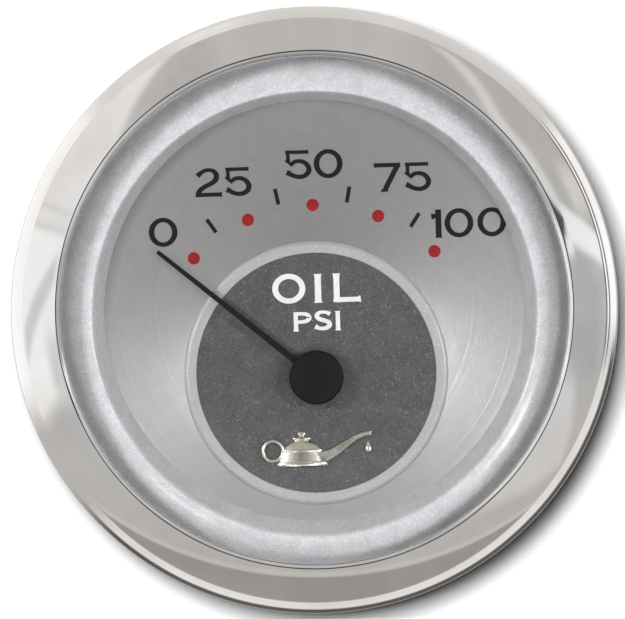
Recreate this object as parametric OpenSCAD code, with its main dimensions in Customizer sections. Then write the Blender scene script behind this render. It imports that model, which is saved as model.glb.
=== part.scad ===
// Panel-mounted electric oil pressure gauge with a short sweep.
// Each piece is drawn about the gauge axis with z = 0 on the panel seat,
// z growing towards the reader and y towards the top of the dial.
// upright() then turns the gauge so that the dial faces -Y and +Z is up.
// Lengths are in millimetres and angles in degrees.

/* [Case] */
// Outside diameter of the case barrel that passes through the panel
case_d = 65.8; // [60:0.1:80]
// Depth of the case behind the panel seat
case_depth = 36; // [30:0.5:60]
// Thickness of the drawn steel of the case
case_wall = 0.8; // [0.5:0.1:1.2]
// Radius of the rear edge of the case
case_corner = 2.5; // [1.5:0.1:4]
// Width of the flange at the mouth of the case
flange_w = 2.7; // [2:0.1:4]

/* [Bezel] */
// Thickness of the bezel sheet
bezel_wall = 0.7; // [0.4:0.1:0.8]
// Width of the bezel's face from its outside to its inner lip
face_w = 6.2; // [5.5:0.1:7]
// Outside radius of the rolled inner lip
lip_round = 0.9; // [0.85:0.05:1.2]
// Radius of curvature of the crown
crown_curve = 6.5; // [5.5:0.5:12]
// Tilt of the crown where it leaves the lip
crown_tilt = 8; // [4:1:15]
// Height of the step between crown and shoulder
step_h = 0.35; // [0.2:0.05:0.5]
// Width of the shoulder outside the step
shoulder_w = 1.3; // [1:0.1:2]
// Tilt of the shoulder where it leaves the step
shoulder_tilt = 44; // [30:1:50]
// Radius of the roll at the rear of the bezel
roll_r = 0.9; // [0.8:0.1:1.5]
// Gap between the case barrel and the hem behind the flange
hem_gap = 1.1; // [0.9:0.1:1.6]

/* [Window] */
// Thickness of the flat glass
lens_t = 2; // [1.5:0.1:3]
// Thickness of the gasket behind the glass
gasket_t = 0.6; // [0.3:0.1:1.2]
// Width of the gasket
gasket_w = 1.7; // [1:0.1:2.2]
// Width that the trim ring shows inside the case barrel
ring_show = 7.6; // [6:0.1:10]
// Width of the bevel that falls to the dial
bevel_w = 2; // [1:0.1:3]
// Height of the trim ring from the dial to the gasket seat
ring_h = 2.5; // [2:0.1:4]
// Height of the crest of the trim ring above its gasket seat
crest_rise = 0.15; // [0:0.05:0.4]
// Radius of curvature of the ring's outer slope
slope_curve = 4.7; // [4.5:0.1:8]
// Wall of the moulded trim ring
ring_wall = 1.1; // [0.8:0.1:1.4]

/* [Dial] */
// Thickness of the dial plate
dial_t = 0.8; // [0.5:0.1:1.5]
// Drop from the gauge axis to the spindle
pivot_drop = 8.1; // [5:0.1:10]
// Drop from the gauge axis to the centre of the dark disc
disc_drop = 7.55; // [5:0.05:10]
// Width of dial left between the disc's rim and the trim ring
disc_edge = 1.85; // [1:0.05:4]
// Width of the pale rim round the dark disc
disc_rim_w = 1.5; // [0.8:0.1:2.5]
// Thickness of the disc and its rim
disc_t = 0.3; // [0.2:0.05:0.5]
// Drop from the spindle to the middle of the emblem
emblem_drop = 8.3; // [7:0.1:9]
// Thickness of the emblem
emblem_t = 0.9; // [0.5:0.1:1.2]

/* [Pointer] */
// Length of the pointer from the spindle to its tip
pointer_len = 24; // [16:0.5:26]
// Width of the pointer at its tip
pointer_tip_w = 0.5; // [0.3:0.05:1]
// Width of the pointer where it leaves the hub
pointer_root_w = 0.85; // [0.6:0.05:1.4]
// Thickness of the pointer
pointer_t = 0.35; // [0.2:0.05:0.5]
// Height of the pointer above the dial
pointer_lift = 1.45; // [1:0.05:1.7]
// Angle of the pointer left of upright when the gauge is off
pointer_rest = 50; // [45:1:60]
// Diameter of the hub cap
hub_d = 6.5; // [5:0.1:9]
// Diameter of the spindle
spindle_d = 1; // [0.8:0.1:1.6]

/* [Movement] */
// Width of the coil former
bobbin_w = 12; // [11:0.5:16]
// Height of the coil former along the spindle
bobbin_h = 9.2; // [8:0.2:14]
// Diameter of the magnet on the spindle
magnet_d = 8.4; // [6:0.2:8.6]
// Thickness of the magnet on the spindle
magnet_t = 3.6; // [2:0.2:4]
// Width of each half of a winding
coil_w = 3.6; // [2.5:0.1:3.6]
// Thickness of a winding
coil_t = 1.3; // [0.8:0.1:2]
// Depth of the middle of the movement behind the dial
movement_drop = 13.7; // [13:0.1:18]
// Thickness of the shield can
can_wall = 0.8; // [0.5:0.1:1.2]
// Thickness of the circuit board
board_t = 1.6; // [1:0.1:2]
// Height of the pillars between the carrier and the board
spacer_h = 3; // [2.5:0.5:5]

/* [Carrier] */
// Wall of the white carrier behind the dial
carrier_wall = 1.4; // [1:0.1:2]
// Thickness of the carrier's floor
carrier_floor = 1.6; // [1.2:0.1:2.5]
// Thickness of the carrier's rim under the dial
carrier_rim = 1.1; // [0.8:0.1:2]

/* [Terminals] */
// Diameter of the terminal and clamp studs
stud_d = 4.16; // [3:0.01:5]
// Distance between neighbouring terminals
terminal_pitch = 12.5; // [11:0.5:14]
// Length of the terminals behind the case
terminal_len = 19; // [17:0.5:30]
// Diameter of the insulators' flanges
insulator_d = 9; // [8:0.1:11]
// Thickness of an insulator's flange
insulator_t = 1.5; // [1:0.1:3]
// Width of a hexagon nut across its flats
nut_af = 7.6; // [6:0.1:9]
// Height of a hexagon nut
nut_h = 3.1; // [2:0.1:4]
// Thickness of every washer
washer_t = 0.8; // [0.5:0.1:1.5]

/* [Clamp] */
// Width of the clamp strap
strap_w = 16; // [12:0.5:18]
// Thickness of the clamp strap
strap_t = 1.5; // [1:0.1:2.5]
// Outside bend radius of the clamp strap
strap_bend = 3; // [2.6:0.1:5]
// Panel thickness that the clamp is drawn for
panel_t = 3; // [1:0.1:3.5]
// Gap between the case and the strap, at the sides and behind
strap_gap = 1.2; // [1:0.1:2]
// Gap between the rear of the case and the strap
web_gap = 3; // [2.5:0.1:3.5]
// Distance from the case's side to the axis of a clamp stud
clamp_stud_edge = 14.9; // [12:0.1:17]
// Length of the clamp studs behind the case
clamp_stud_len = 26; // [24:0.5:40]
// Diameter of a thumb nut over its knurl
thumb_d = 11.6; // [9:0.1:14]
// Height of a thumb nut
thumb_h = 6; // [4:0.5:10]

/* [Lamp] */
// Diameter of the push-in lamp holder
lamp_d = 10; // [8:0.1:10.4]
// Diameter of the hole for the lamp's grommet
lamp_hole_d = 12.8; // [12.4:0.1:13]
// Width of the grommet's flange round that hole
grommet_lip = 1.2; // [0.8:0.1:1.6]
// Reach of the bulb in front of the case's rear wall
bulb_reach = 21; // [20:0.5:22]
// Length of the lamp holder behind the case
lamp_tail = 9; // [8:0.5:15]

/* [Fits] */
// Clearance of turned parts that are fixed in their holes
seat_gap = 0.02; // [0.01:0.01:0.05]
// Radial running clearance of the spindle and the thumb nuts
running_gap = 0.04; // [0.02:0.01:0.09]
// Clearance between parts that only pass each other
loose_gap = 0.3; // [0.25:0.05:0.5]

/* [Hidden] */

round_fn = 128;
small_fn = 48;
e = 0.01; // reach of a cut past the face it opens

// Radii about the gauge axis
flange_fit = 0.2;
step_w = 0.1;
lens_under_lip = 1.3;
dial_inset = 1.2;
carrier_gap = 0.5;
board_inset = 4.1;
case_r = case_d / 2;
case_in_r = case_r - case_wall;
flange_r = case_r + flange_w;
bezel_r = flange_r + flange_fit + bezel_wall;
hem_r = case_r + hem_gap;
step_r = bezel_r - shoulder_w - step_w;
lip_in_r = bezel_r - face_w;
lip_r = lip_in_r + lip_round;
lens_r = lip_r + lens_under_lip;
window_r = case_r - ring_show;
crest_r = window_r + bevel_w;
dial_r = flange_r - dial_inset;
carrier_r = case_in_r - carrier_gap;
carrier_in_r = carrier_r - carrier_wall;
board_r = case_in_r - board_inset;

// Levels along the gauge axis, from the panel seat forwards
lip_gap = 0.04;
lip_foot = 0.11;
flange_z = bezel_wall;
rim_z = flange_z + case_wall;
dial_back_z = rim_z + carrier_rim;
dial_z = dial_back_z + dial_t;
disc_z = dial_z + disc_t;
ring_seat_z = dial_z + ring_h;
lens_back_z = ring_seat_z + gasket_t;
lens_front_z = lens_back_z + lens_t;
pointer_z = dial_z + pointer_lift;
lip_end_z = lens_front_z + lip_gap;
lip_z = lip_end_z + lip_foot;

// Levels behind the panel seat
coil_gap = 0.1;
can_gap = 0.5;
bearing_tail = 1;
bearing_floor = 0.6;
end_play = 0.05;
back_z = -case_depth;
back_in_z = back_z + case_wall;
movement_z = dial_z - movement_drop;
bobbin_half = bobbin_w / 2;
bobbin_rise = bobbin_h / 2;
inner_rise = bobbin_rise + coil_gap + coil_t;
outer_rise = inner_rise + coil_gap + coil_t;
bearing_end_z = movement_z - inner_rise - bearing_tail;
can_floor_z = movement_z - outer_rise - can_gap;
carrier_floor_z = can_floor_z - can_wall;
carrier_back_z = carrier_floor_z - carrier_floor;
board_front_z = carrier_back_z - spacer_h;
board_back_z = board_front_z - board_t;

// Movement across the spindle
bearing_wall = 0.65;
bearing_hole_gap = 0.85;
magnet_gap = 0.6;
magnet_end_gap = 0.8;
coil_start_gap = 0.25;
post_gap = 0.15;
pin_edge = 0.125;
can_side_gap = 0.6;
return_gap = 0.15;
spindle_r = spindle_d / 2;
bearing_r = spindle_r + bearing_wall;
dial_hole_r = bearing_r + bearing_hole_gap;
cavity_r = magnet_d / 2 + magnet_gap;
cavity_rise = magnet_t / 2 + magnet_end_gap;
coil_start = bearing_r + coil_start_gap;
coil_end = coil_start + coil_w;
post_start = coil_end + post_gap;
coil_reach = bobbin_half + coil_gap + coil_t;
pin_r = 0.3;
pin_x = post_start + pin_r + pin_edge;
return_r = 0.7;
return_x = bobbin_half + return_r;
coil_corner_r = sqrt(pow(coil_reach, 2) + pow(coil_end, 2));
can_r = max(coil_corner_r + can_side_gap, return_x * sqrt(2) + return_r + return_gap) + can_wall;
screw_r = 1.2;
screw_head_r = 2.2;
ear_x = can_r + screw_head_r + loose_gap;
board_screw_x = can_r + 8.5;
board_screw_y = 2;

// Studs and terminals
terminal_strap_gap = 3.4;
stud_head_w = 1.5;
washer_w = 2;
sleeve_wall = 0.5;
stud_r = stud_d / 2;
stud_head_r = stud_r + stud_head_w;
stud_head_t = 1.2;
insulator_r = insulator_d / 2;
sleeve_r = stud_r + sleeve_wall;
terminal_y = -(strap_w / 2 + terminal_strap_gap + insulator_r);
washer_r = stud_r + washer_w;
collar_t = 1.2;
stud_chamfer = 0.5;
groove_depth = 0.35;
groove_w = 0.8;
first_nut_z = back_z - insulator_t - washer_t;
second_nut_z = first_nut_z - nut_h - washer_t;
groove_z = second_nut_z - nut_h;

// Clamp
clamp_stud_x = case_r - clamp_stud_edge;
leg_in_x = case_r + strap_gap;
leg_out_x = leg_in_x + strap_t;
web_z = back_z - web_gap;
web_back_z = web_z - strap_t;
bend_x = leg_out_x - strap_bend;
bend_z = web_back_z + strap_bend;
thumb_z = web_back_z - washer_t;
strap_washer_w = 0.9;
knurls = 36;
knurl_depth = 0.45;

// Lamp
lamp_strap_gap = 1.2;
lip_t = 1.3;
shell_t = 0.4;
bulb_gap = 0.4;
lamp_r = lamp_d / 2;
lamp_hole_r = lamp_hole_d / 2;
grommet_r = lamp_hole_r + grommet_lip;
lamp_y = strap_w / 2 + lamp_strap_gap + grommet_r;
bulb_r = lamp_r - shell_t - bulb_gap;
bulb_tip_z = back_in_z + bulb_reach;
bulb_seat_z = back_in_z + 6;
contact_r = 1.5;
lamp_back_z = back_z - lamp_tail;
plug_back_z = lamp_back_z + 1;
plug_front_z = plug_back_z + 3.5;
contact_front_z = plug_front_z + 1;
bulb_back_z = contact_front_z + 1;

// Pointer and hub
hub_r = hub_d / 2;
hub_wall = 0.7;
hub_glass_gap = 0.35;
boss_r = hub_r - hub_wall - 0.05;
bush_wall = 0.8;
bush_h = 0.9;
spindle_end = 0.35;
hub_inside_z = pointer_z + pointer_t + seat_gap;

// Disc on the dial
disc_rim_r = window_r - disc_edge - disc_drop;
disc_r = disc_rim_r - disc_rim_w;

// Turns the drawn gauge upright, dial facing -Y
module upright() {
    rotate([90, 0, 0]) children();
}

// Points of an arc from a0 to a1 in n steps
function arc(x, y, r, a0, a1, n = 8) =
    [for (i = [0:n]) let (a = a0 + (a1 - a0) * i / n) [x + r * cos(a), y + r * sin(a)]];

// Solid of revolution of a half section given as [radius, height] points
module revolve(section) {
    rotate_extrude($fn = round_fn) polygon(section);
}

// Round bar or hole between two levels
module bar(r, z0, z1, fn = small_fn) {
    translate([0, 0, min(z0, z1)]) cylinder(r = r, h = abs(z1 - z0), $fn = fn);
}

// Ring or sleeve between two levels
module sleeve(r_out, r_in, z0, z1, fn = small_fn) {
    difference() {
        bar(r_out, z0, z1, fn);
        bar(r_in, min(z0, z1) - e, max(z0, z1) + e, fn);
    }
}

// Children at the spindle, which stands below the gauge axis
module at_spindle() {
    translate([0, -pivot_drop, 0]) children();
}

// One child at each of the two signs of x and y
module at_corners(d) {
    for (x = [-d, d], y = [-d, d]) translate([x, y, 0]) children();
}

module at_clamp_studs() {
    for (x = [-clamp_stud_x, clamp_stud_x]) translate([x, 0, 0]) children();
}

module at_terminals() {
    for (i = [-1:1]) translate([i * terminal_pitch, terminal_y, 0]) children();
}

module at_lamp() {
    translate([0, lamp_y, 0]) children();
}

// Where the carrier is screwed to the board
module at_board_screws() {
    for (x = [-1, 1]) translate([x * board_screw_x, board_screw_y, 0]) children();
}

// Front parts

// Lip that stands on the glass, gently curved crown, step, shoulder, flank and rear hem
module bezel() {
    crown_r = lip_r + (lip_round - crown_curve) * sin(crown_tilt);
    crown_z = lip_z + (lip_round - crown_curve) * cos(crown_tilt);
    crown_from = 90 - crown_tilt;
    crown_to = acos((step_r - crown_r) / crown_curve);
    shoulder_r = shoulder_w / (1 - sin(shoulder_tilt));
    shoulder_from = 90 - shoulder_tilt;
    shoulder_mid_r = bezel_r - shoulder_r;
    shoulder_z = crown_z + crown_curve * sin(crown_to) - step_h - shoulder_r * sin(shoulder_from);
    roll_mid_r = bezel_r - roll_r;
    color("gainsboro") upright() revolve(concat(
        [[lip_in_r + bezel_wall, lip_end_z], [lip_in_r, lip_end_z]],
        arc(lip_r, lip_z, lip_round, 180, crown_from, 12),
        arc(crown_r, crown_z, crown_curve, crown_from, crown_to, 16),
        arc(shoulder_mid_r, shoulder_z, shoulder_r, shoulder_from, 0, 10),
        arc(roll_mid_r, roll_r, roll_r, 0, -90, 8),
        [[hem_r, 0], [hem_r, bezel_wall]],
        arc(roll_mid_r, roll_r, roll_r - bezel_wall, -90, 0, 4),
        arc(shoulder_mid_r, shoulder_z, shoulder_r - bezel_wall, 0, shoulder_from, 8),
        arc(crown_r, crown_z, crown_curve - bezel_wall, crown_to, crown_from, 16),
        arc(lip_r, lip_z, lip_round - bezel_wall, crown_from, 180, 5)
    ));
}

module lens() {
    chamfer = 0.2;
    color("white", 0.3) upright() revolve([
        [0, lens_back_z], [lens_r - chamfer, lens_back_z], [lens_r, lens_back_z + chamfer],
        [lens_r, lens_front_z - chamfer], [lens_r - chamfer, lens_front_z], [0, lens_front_z]
    ]);
}

module lens_gasket() {
    color("dimgray") upright() sleeve(lens_r, lens_r - gasket_w, ring_seat_z, lens_back_z, round_fn);
}

// Moulded silver ring: bevel to the dial, round crest, curved slope, gasket seat and rim
module trim_ring() {
    foot_h = 0.25;
    crest_round = 0.5;
    crest_tilt = 6;
    bevel_tilt = 60;
    slope_gap = 0.3;
    seat_w = 0.4;
    hollow_w = 0.6;
    rib_w = 0.8;
    crest_mid_r = crest_r + 0.15;
    crest_z = ring_seat_z + crest_rise - crest_round;
    slope_r = lens_r - gasket_w - slope_gap;
    slope_mid_r = crest_mid_r + (crest_round - slope_curve) * sin(crest_tilt);
    slope_z = crest_z + (crest_round - slope_curve) * cos(crest_tilt);
    slope_to = acos((slope_r - slope_mid_r) / slope_curve);
    seat_r = lens_r + seat_w;
    seat_in_r = slope_r + 0.1;
    rim_r = dial_r + dial_inset / 2;
    skirt_r = seat_r - ring_wall;
    hollow_z = ring_seat_z - ring_wall;
    color("silver") upright() revolve(concat(
        [[window_r, dial_z], [window_r, dial_z + foot_h]],
        arc(crest_mid_r, crest_z, crest_round, 90 + bevel_tilt, 90 - crest_tilt, 8),
        arc(slope_mid_r, slope_z, slope_curve, 90 - crest_tilt, slope_to, 10),
        [[seat_in_r, ring_seat_z], [seat_r, ring_seat_z]],
        [[seat_r, dial_z + ring_wall], [rim_r, dial_z + ring_wall], [rim_r, dial_z]],
        [[skirt_r, dial_z], [skirt_r, hollow_z], [slope_r + ring_wall, hollow_z], [slope_r + rib_w, dial_z]],
        [[slope_r - hollow_w, dial_z], [crest_mid_r + foot_h, hollow_z - crest_rise]],
        [[window_r + ring_wall, dial_z]]
    ));
}

module dial_plate() {
    color("lightgray") upright() difference() {
        bar(dial_r, dial_back_z, dial_z, round_fn);
        at_spindle() bar(dial_hole_r, dial_back_z - e, dial_z + e);
    }
}

module disc_rim() {
    color("whitesmoke") upright() translate([0, -disc_drop, 0])
        sleeve(disc_rim_r, disc_r, dial_z, disc_z, round_fn);
}

module centre_disc() {
    color("dimgray") upright() difference() {
        translate([0, -disc_drop, 0]) bar(disc_r, dial_z, disc_z, round_fn);
        at_spindle() bar(dial_hole_r, dial_z - e, disc_z + e);
    }
}

// Outline of a long-spouted oil can with a falling drop
module oil_can_outline() {
    polygon([
        [-3.6, -2.3], [3.1, -2.3], [6.9, 1.2], [7.9, 1.2], [7.9, 1.75], [6.6, 1.75],
        [2.9, -0.9], [2.5, 0.9], [-2.9, 0.9]
    ]);
    translate([-1.3, 1.2]) square([2.2, 0.5]);
    translate([-0.6, 0.8]) square([0.8, 0.6]);
    translate([-4, -0.1]) difference() {
        circle(r = 1.5, $fn = small_fn);
        circle(r = 0.95, $fn = small_fn);
    }
    translate([7.6, -0.5]) {
        circle(r = 0.5, $fn = small_fn);
        polygon([[-0.47, 0.17], [0.47, 0.17], [0, 1.25]]);
    }
}

module emblem() {
    step_t = 0.55;
    color("lightyellow") upright() translate([-1.6, -pivot_drop - emblem_drop, disc_z]) {
        linear_extrude(step_t) oil_can_outline();
        translate([0, 0, step_t - e]) linear_extrude(emblem_t - step_t + e)
            polygon([[-3, -1.9], [2.8, -1.9], [2.1, 0.5], [-2.5, 0.5]]);
    }
}

// Case and carrier

module case_shell() {
    inner_corner = max(case_corner - case_wall, 0.2);
    color("darkgray") upright() difference() {
        revolve(concat(
            [[0, back_z]],
            arc(case_r - case_corner, back_z + case_corner, case_corner, -90, 0, 8),
            [[case_r, flange_z], [flange_r, flange_z], [flange_r, rim_z], [case_in_r, rim_z]],
            arc(case_in_r - inner_corner, back_in_z + inner_corner, inner_corner, 0, -90, 8),
            [[0, back_in_z]]
        ));
        at_terminals() bar(sleeve_r + seat_gap, back_z - e, back_in_z + e);
        at_clamp_studs() bar(stud_r + seat_gap, back_z - e, back_in_z + e);
        at_lamp() bar(lamp_hole_r, back_z - e, back_in_z + e);
    }
}

// White moulded cup that carries the dial and the movement and spreads the lamp's light
module dial_carrier() {
    boss_r = screw_head_r + 0.4;
    boss_h = 5;
    foot_h = 2;
    rim_r = flange_r - 0.4;
    lamp_gap = 0.7;
    color("white") upright() difference() {
        union() {
            revolve([
                [0, carrier_back_z], [carrier_r, carrier_back_z], [carrier_r, rim_z],
                [rim_r, rim_z], [rim_r, dial_back_z], [carrier_in_r, dial_back_z],
                [carrier_in_r, carrier_floor_z], [0, carrier_floor_z]
            ]);
            at_board_screws() bar(boss_r, carrier_floor_z - e, carrier_floor_z + boss_h);
            at_spindle() for (x = [-ear_x, ear_x])
                translate([x, 0, 0]) bar(boss_r, carrier_back_z - foot_h, carrier_back_z + e);
        }
        at_lamp() bar(lamp_r + lamp_gap, carrier_back_z - e, carrier_floor_z + e);
        at_spindle() at_corners(pin_x) bar(pin_r + loose_gap, carrier_back_z - e, carrier_floor_z + e);
        at_board_screws() bar(screw_r + seat_gap, carrier_back_z - e, carrier_floor_z + boss_h - 1);
        at_spindle() for (x = [-ear_x, ear_x])
            translate([x, 0, 0]) bar(screw_r + seat_gap, carrier_back_z - foot_h - e, carrier_floor_z + e);
    }
}

module carrier_screws() {
    color("silver") upright() at_board_screws() {
        bar(screw_head_r, board_back_z - 1.2, board_back_z);
        bar(screw_r, board_back_z - e, carrier_floor_z + 3.8);
    }
}

// Movement

// Half of the coil former, drawn with its open side at z = 0 and its wall above
module bobbin_half_shell(post_rise) {
    difference() {
        translate([-bobbin_half, -bobbin_half, 0]) cube([bobbin_w, bobbin_w, bobbin_rise]);
        bar(cavity_r, -e, cavity_rise);
        bar(bearing_r + seat_gap, 0, bobbin_rise + e);
    }
    post_w = bobbin_half - post_start;
    for (x = [0, 1], y = [0, 1]) mirror([x, 0, 0]) mirror([0, y, 0])
        translate([post_start, post_start, bobbin_rise - e])
            cube([post_w, post_w, post_rise - bobbin_rise + e]);
}

module bobbin_front() {
    color("ivory") upright() at_spindle() translate([0, 0, movement_z])
        bobbin_half_shell(outer_rise);
}

module bobbin_rear() {
    color("ivory") upright() at_spindle() difference() {
        translate([0, 0, movement_z]) mirror([0, 0, 1])
            bobbin_half_shell(movement_z - can_floor_z);
        at_corners(pin_x) bar(pin_r + seat_gap, can_floor_z - e, movement_z - bobbin_rise);
    }
}

// Rectangle with round corners, centred
module round_rectangle(w, h, r) {
    square([w - 2 * r, h], center = true);
    square([w, h - 2 * r], center = true);
    for (x = [-1, 1], y = [-1, 1])
        translate([x * (w / 2 - r), y * (h / 2 - r)]) circle(r = r, $fn = small_fn);
}

// Both halves of a winding, wound in the x-z plane either side of the spindle
module winding(half_x, half_z) {
    for (side = [-1, 1])
        translate([0, side * (coil_start + coil_end) / 2, movement_z])
            rotate([90, 0, 0]) linear_extrude(coil_w, center = true) difference() {
                round_rectangle(2 * (half_x + coil_t), 2 * (half_z + coil_t), coil_t);
                square([2 * half_x, 2 * half_z], center = true);
            }
}

module inner_coil() {
    color("darkorange") upright() at_spindle() winding(bobbin_half + coil_gap, bobbin_rise + coil_gap);
}

module outer_coil() {
    color("orangered") upright() at_spindle() rotate([0, 0, 90])
        winding(bobbin_half + coil_gap, inner_rise + coil_gap);
}

// Deep-drawn cup round the coils, with two ears that are screwed to the carrier
module shield_can() {
    ear_r = screw_head_r + 0.5;
    color("gray") upright() at_spindle() difference() {
        union() {
            revolve([
                [0, carrier_floor_z], [can_r, carrier_floor_z], [can_r, movement_z + outer_rise],
                [can_r - can_wall, movement_z + outer_rise], [can_r - can_wall, can_floor_z],
                [0, can_floor_z]
            ]);
            for (x = [-1, 1]) {
                translate([x * ear_x, 0, 0]) bar(ear_r, carrier_floor_z, can_floor_z);
                translate([x * (can_r + ear_x) / 2, 0, (carrier_floor_z + can_floor_z) / 2])
                    cube([ear_x - can_r + 1, 2 * ear_r, can_wall], center = true);
            }
        }
        for (x = [-ear_x, ear_x])
            translate([x, 0, 0]) bar(screw_r + seat_gap, carrier_floor_z - e, can_floor_z + e);
        at_corners(pin_x) bar(pin_r + loose_gap, carrier_floor_z - e, can_floor_z + e);
    }
}

// Small bar magnet that draws the pointer below zero when the gauge is off
module return_magnet() {
    color("dimgray") upright() at_spindle() translate([return_x, return_x, 0])
        bar(return_r, can_floor_z, movement_z + 2);
}

// Front bush is open, rear bush is closed and takes the spindle's end
module spindle_bearings() {
    bore = spindle_r + running_gap;
    color("goldenrod") upright() at_spindle() {
        sleeve(bearing_r, bore, movement_z + cavity_rise, movement_z + outer_rise + 0.8);
        difference() {
            bar(bearing_r, bearing_end_z, movement_z - cavity_rise);
            bar(bore, bearing_end_z + bearing_floor, movement_z - cavity_rise + e);
        }
    }
}

module coil_pins() {
    color("goldenrod") upright() at_spindle() at_corners(pin_x)
        bar(pin_r, board_back_z - 0.6, can_floor_z + 1, 24);
}

module circuit_board() {
    flat_y = 7.5;
    color("darkgreen") upright() difference() {
        intersection() {
            bar(board_r, board_back_z, board_front_z, round_fn);
            translate([-board_r, -board_r, board_back_z - e])
                cube([2 * board_r, board_r + flat_y, board_t + 2 * e]);
        }
        at_terminals() bar(sleeve_r + seat_gap, board_back_z - e, board_front_z + e);
        at_board_screws() bar(screw_r + seat_gap, board_back_z - e, board_front_z + e);
        at_spindle() at_corners(pin_x) bar(pin_r + seat_gap, board_back_z - e, board_front_z + e, 24);
        at_spindle() for (x = [-ear_x, ear_x])
            translate([x, 0, 0]) bar(screw_r + seat_gap, board_back_z - e, board_front_z + e);
    }
}

// Round-ended resistor on two legs behind the board
module calibrating_resistor() {
    body_r = 1.5;
    body_l = 8;
    leg_x = body_l / 2 + 2;
    axis_z = board_back_z - body_r - 0.3;
    color("tan") upright() translate([0, -6, 0]) {
        translate([0, 0, axis_z]) rotate([0, 90, 0]) {
            cylinder(r = body_r, h = body_l, center = true, $fn = small_fn);
            cylinder(r = 0.35, h = 2 * leg_x, center = true, $fn = 24);
        }
        for (x = [-leg_x, leg_x]) translate([x, 0, 0]) bar(0.35, axis_z, board_back_z, 24);
    }
}

module board_spacers() {
    color("ivory") upright() at_board_screws()
        sleeve(screw_head_r + 0.2, screw_r + seat_gap, board_front_z, carrier_back_z);
}

module movement_screws() {
    color("silver") upright() at_spindle() for (x = [-ear_x, ear_x]) translate([x, 0, 0]) {
        bar(screw_head_r, can_floor_z, can_floor_z + 1.3);
        bar(screw_r, carrier_back_z - 1.8, can_floor_z + e);
    }
}

// Terminals

// Screwed stud: head on the board, a run-out groove behind the last nut, a chamfered end
module terminal_stud(place) {
    end_z = back_z - terminal_len;
    groove_r = stud_r - groove_depth;
    color("goldenrod") upright() translate([place * terminal_pitch, terminal_y, 0]) {
        bar(insulator_r - 0.8, board_front_z, board_front_z + stud_head_t);
        rotate_extrude($fn = small_fn) polygon([
            [0, board_front_z + e], [stud_r, board_front_z + e], [stud_r, groove_z],
            [groove_r, groove_z], [groove_r, groove_z - groove_w], [stud_r, groove_z - groove_w],
            [stud_r, end_z + stud_chamfer], [stud_r - stud_chamfer, end_z], [0, end_z]
        ]);
    }
}

module sender_stud() {
    terminal_stud(-1);
}

module supply_stud() {
    terminal_stud(0);
}

module ground_stud() {
    terminal_stud(1);
}

// Pillar from the board to the case, and the flanged bush behind the case
module terminal_insulators() {
    bore = stud_r + seat_gap;
    split_z = back_z + case_wall / 2;
    color("saddlebrown") upright() at_terminals() {
        sleeve(insulator_r, bore, back_in_z, board_back_z);
        sleeve(sleeve_r, bore, split_z + 0.05, back_in_z + e);
        sleeve(sleeve_r, bore, board_back_z - e, board_front_z);
        sleeve(insulator_r, bore, back_z - insulator_t, back_z);
        sleeve(sleeve_r, bore, back_z - e, split_z);
    }
}

module terminal_washers() {
    color("silver") upright() at_terminals() {
        sleeve(washer_r, stud_r + seat_gap, first_nut_z, first_nut_z + washer_t);
        sleeve(washer_r, stud_r + seat_gap, second_nut_z, second_nut_z + washer_t);
    }
}

// Hexagon nut below level z
module hex_nut(z) {
    difference() {
        bar(nut_af / 2 / cos(30), z - nut_h, z, 6);
        bar(stud_r + seat_gap, z - nut_h - e, z + e);
    }
}

module terminal_nuts() {
    color("silver") upright() at_terminals() hex_nut(first_nut_z);
}

module terminal_outer_nuts() {
    color("silver") upright() at_terminals() hex_nut(second_nut_z);
}

// Clamp

module clamp_studs() {
    end_z = back_z - clamp_stud_len;
    color("silver") upright() at_clamp_studs() {
        bar(stud_head_r, back_in_z, back_in_z + stud_head_t);
        bar(stud_head_r, back_z - collar_t, back_z);
        rotate_extrude($fn = small_fn) polygon([
            [0, back_in_z + e], [stud_r, back_in_z + e], [stud_r, end_z + stud_chamfer],
            [stud_r - stud_chamfer, end_z], [0, end_z]
        ]);
    }
}

// Strap bent to a U, with slots for the studs, a hole between them and notched feet
module clamp_bracket() {
    slot_r = stud_r + 0.45;
    slot_run = 1.2;
    hole_r = 5;
    foot_z = -panel_t;
    notch_w = strap_w - 8;
    color("silver") upright() difference() {
        rotate([90, 0, 0]) linear_extrude(strap_w, center = true) polygon(concat(
            [[leg_in_x, foot_z], [leg_out_x, foot_z]],
            arc(bend_x, bend_z, strap_bend, 0, -90),
            arc(-bend_x, bend_z, strap_bend, -90, -180),
            [[-leg_out_x, foot_z], [-leg_in_x, foot_z]],
            arc(-bend_x, bend_z, strap_bend - strap_t, 180, 270),
            arc(bend_x, bend_z, strap_bend - strap_t, -90, 0)
        ));
        at_clamp_studs() {
            for (x = [-slot_run, slot_run]) translate([x, 0, 0]) bar(slot_r, web_back_z - 1, web_z + 1);
            translate([0, 0, web_z]) cube([2 * slot_run, 2 * slot_r, 4 * strap_t], center = true);
        }
        bar(hole_r, web_back_z - 1, web_z + 1);
        for (x = [-1, 1]) translate([x * (leg_in_x + strap_t / 2), 0, foot_z])
            cube([2 * strap_t, notch_w, 2 * strap_t], center = true);
    }
}

module clamp_washers() {
    color("silver") upright() at_clamp_studs()
        sleeve(washer_r + strap_washer_w, stud_r + loose_gap, thumb_z, web_back_z);
}

// Knurled nut with a smooth collar against the washer
module thumb_nut(side) {
    knurl_r = thumb_d / 2;
    color("goldenrod") upright() translate([side * clamp_stud_x, 0, 0]) difference() {
        union() {
            bar(knurl_r - 1.2, thumb_z - collar_t, thumb_z);
            translate([0, 0, thumb_z - thumb_h]) linear_extrude(thumb_h - collar_t + e) polygon([
                for (i = [0:2 * knurls - 1])
                    let (a = i * 180 / knurls, r = knurl_r - (i % 2) * knurl_depth) [r * cos(a), r * sin(a)]
            ]);
        }
        bar(stud_r + running_gap, thumb_z - thumb_h - e, thumb_z + e);
    }
}

module left_thumb_nut() {
    thumb_nut(-1);
}

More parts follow.
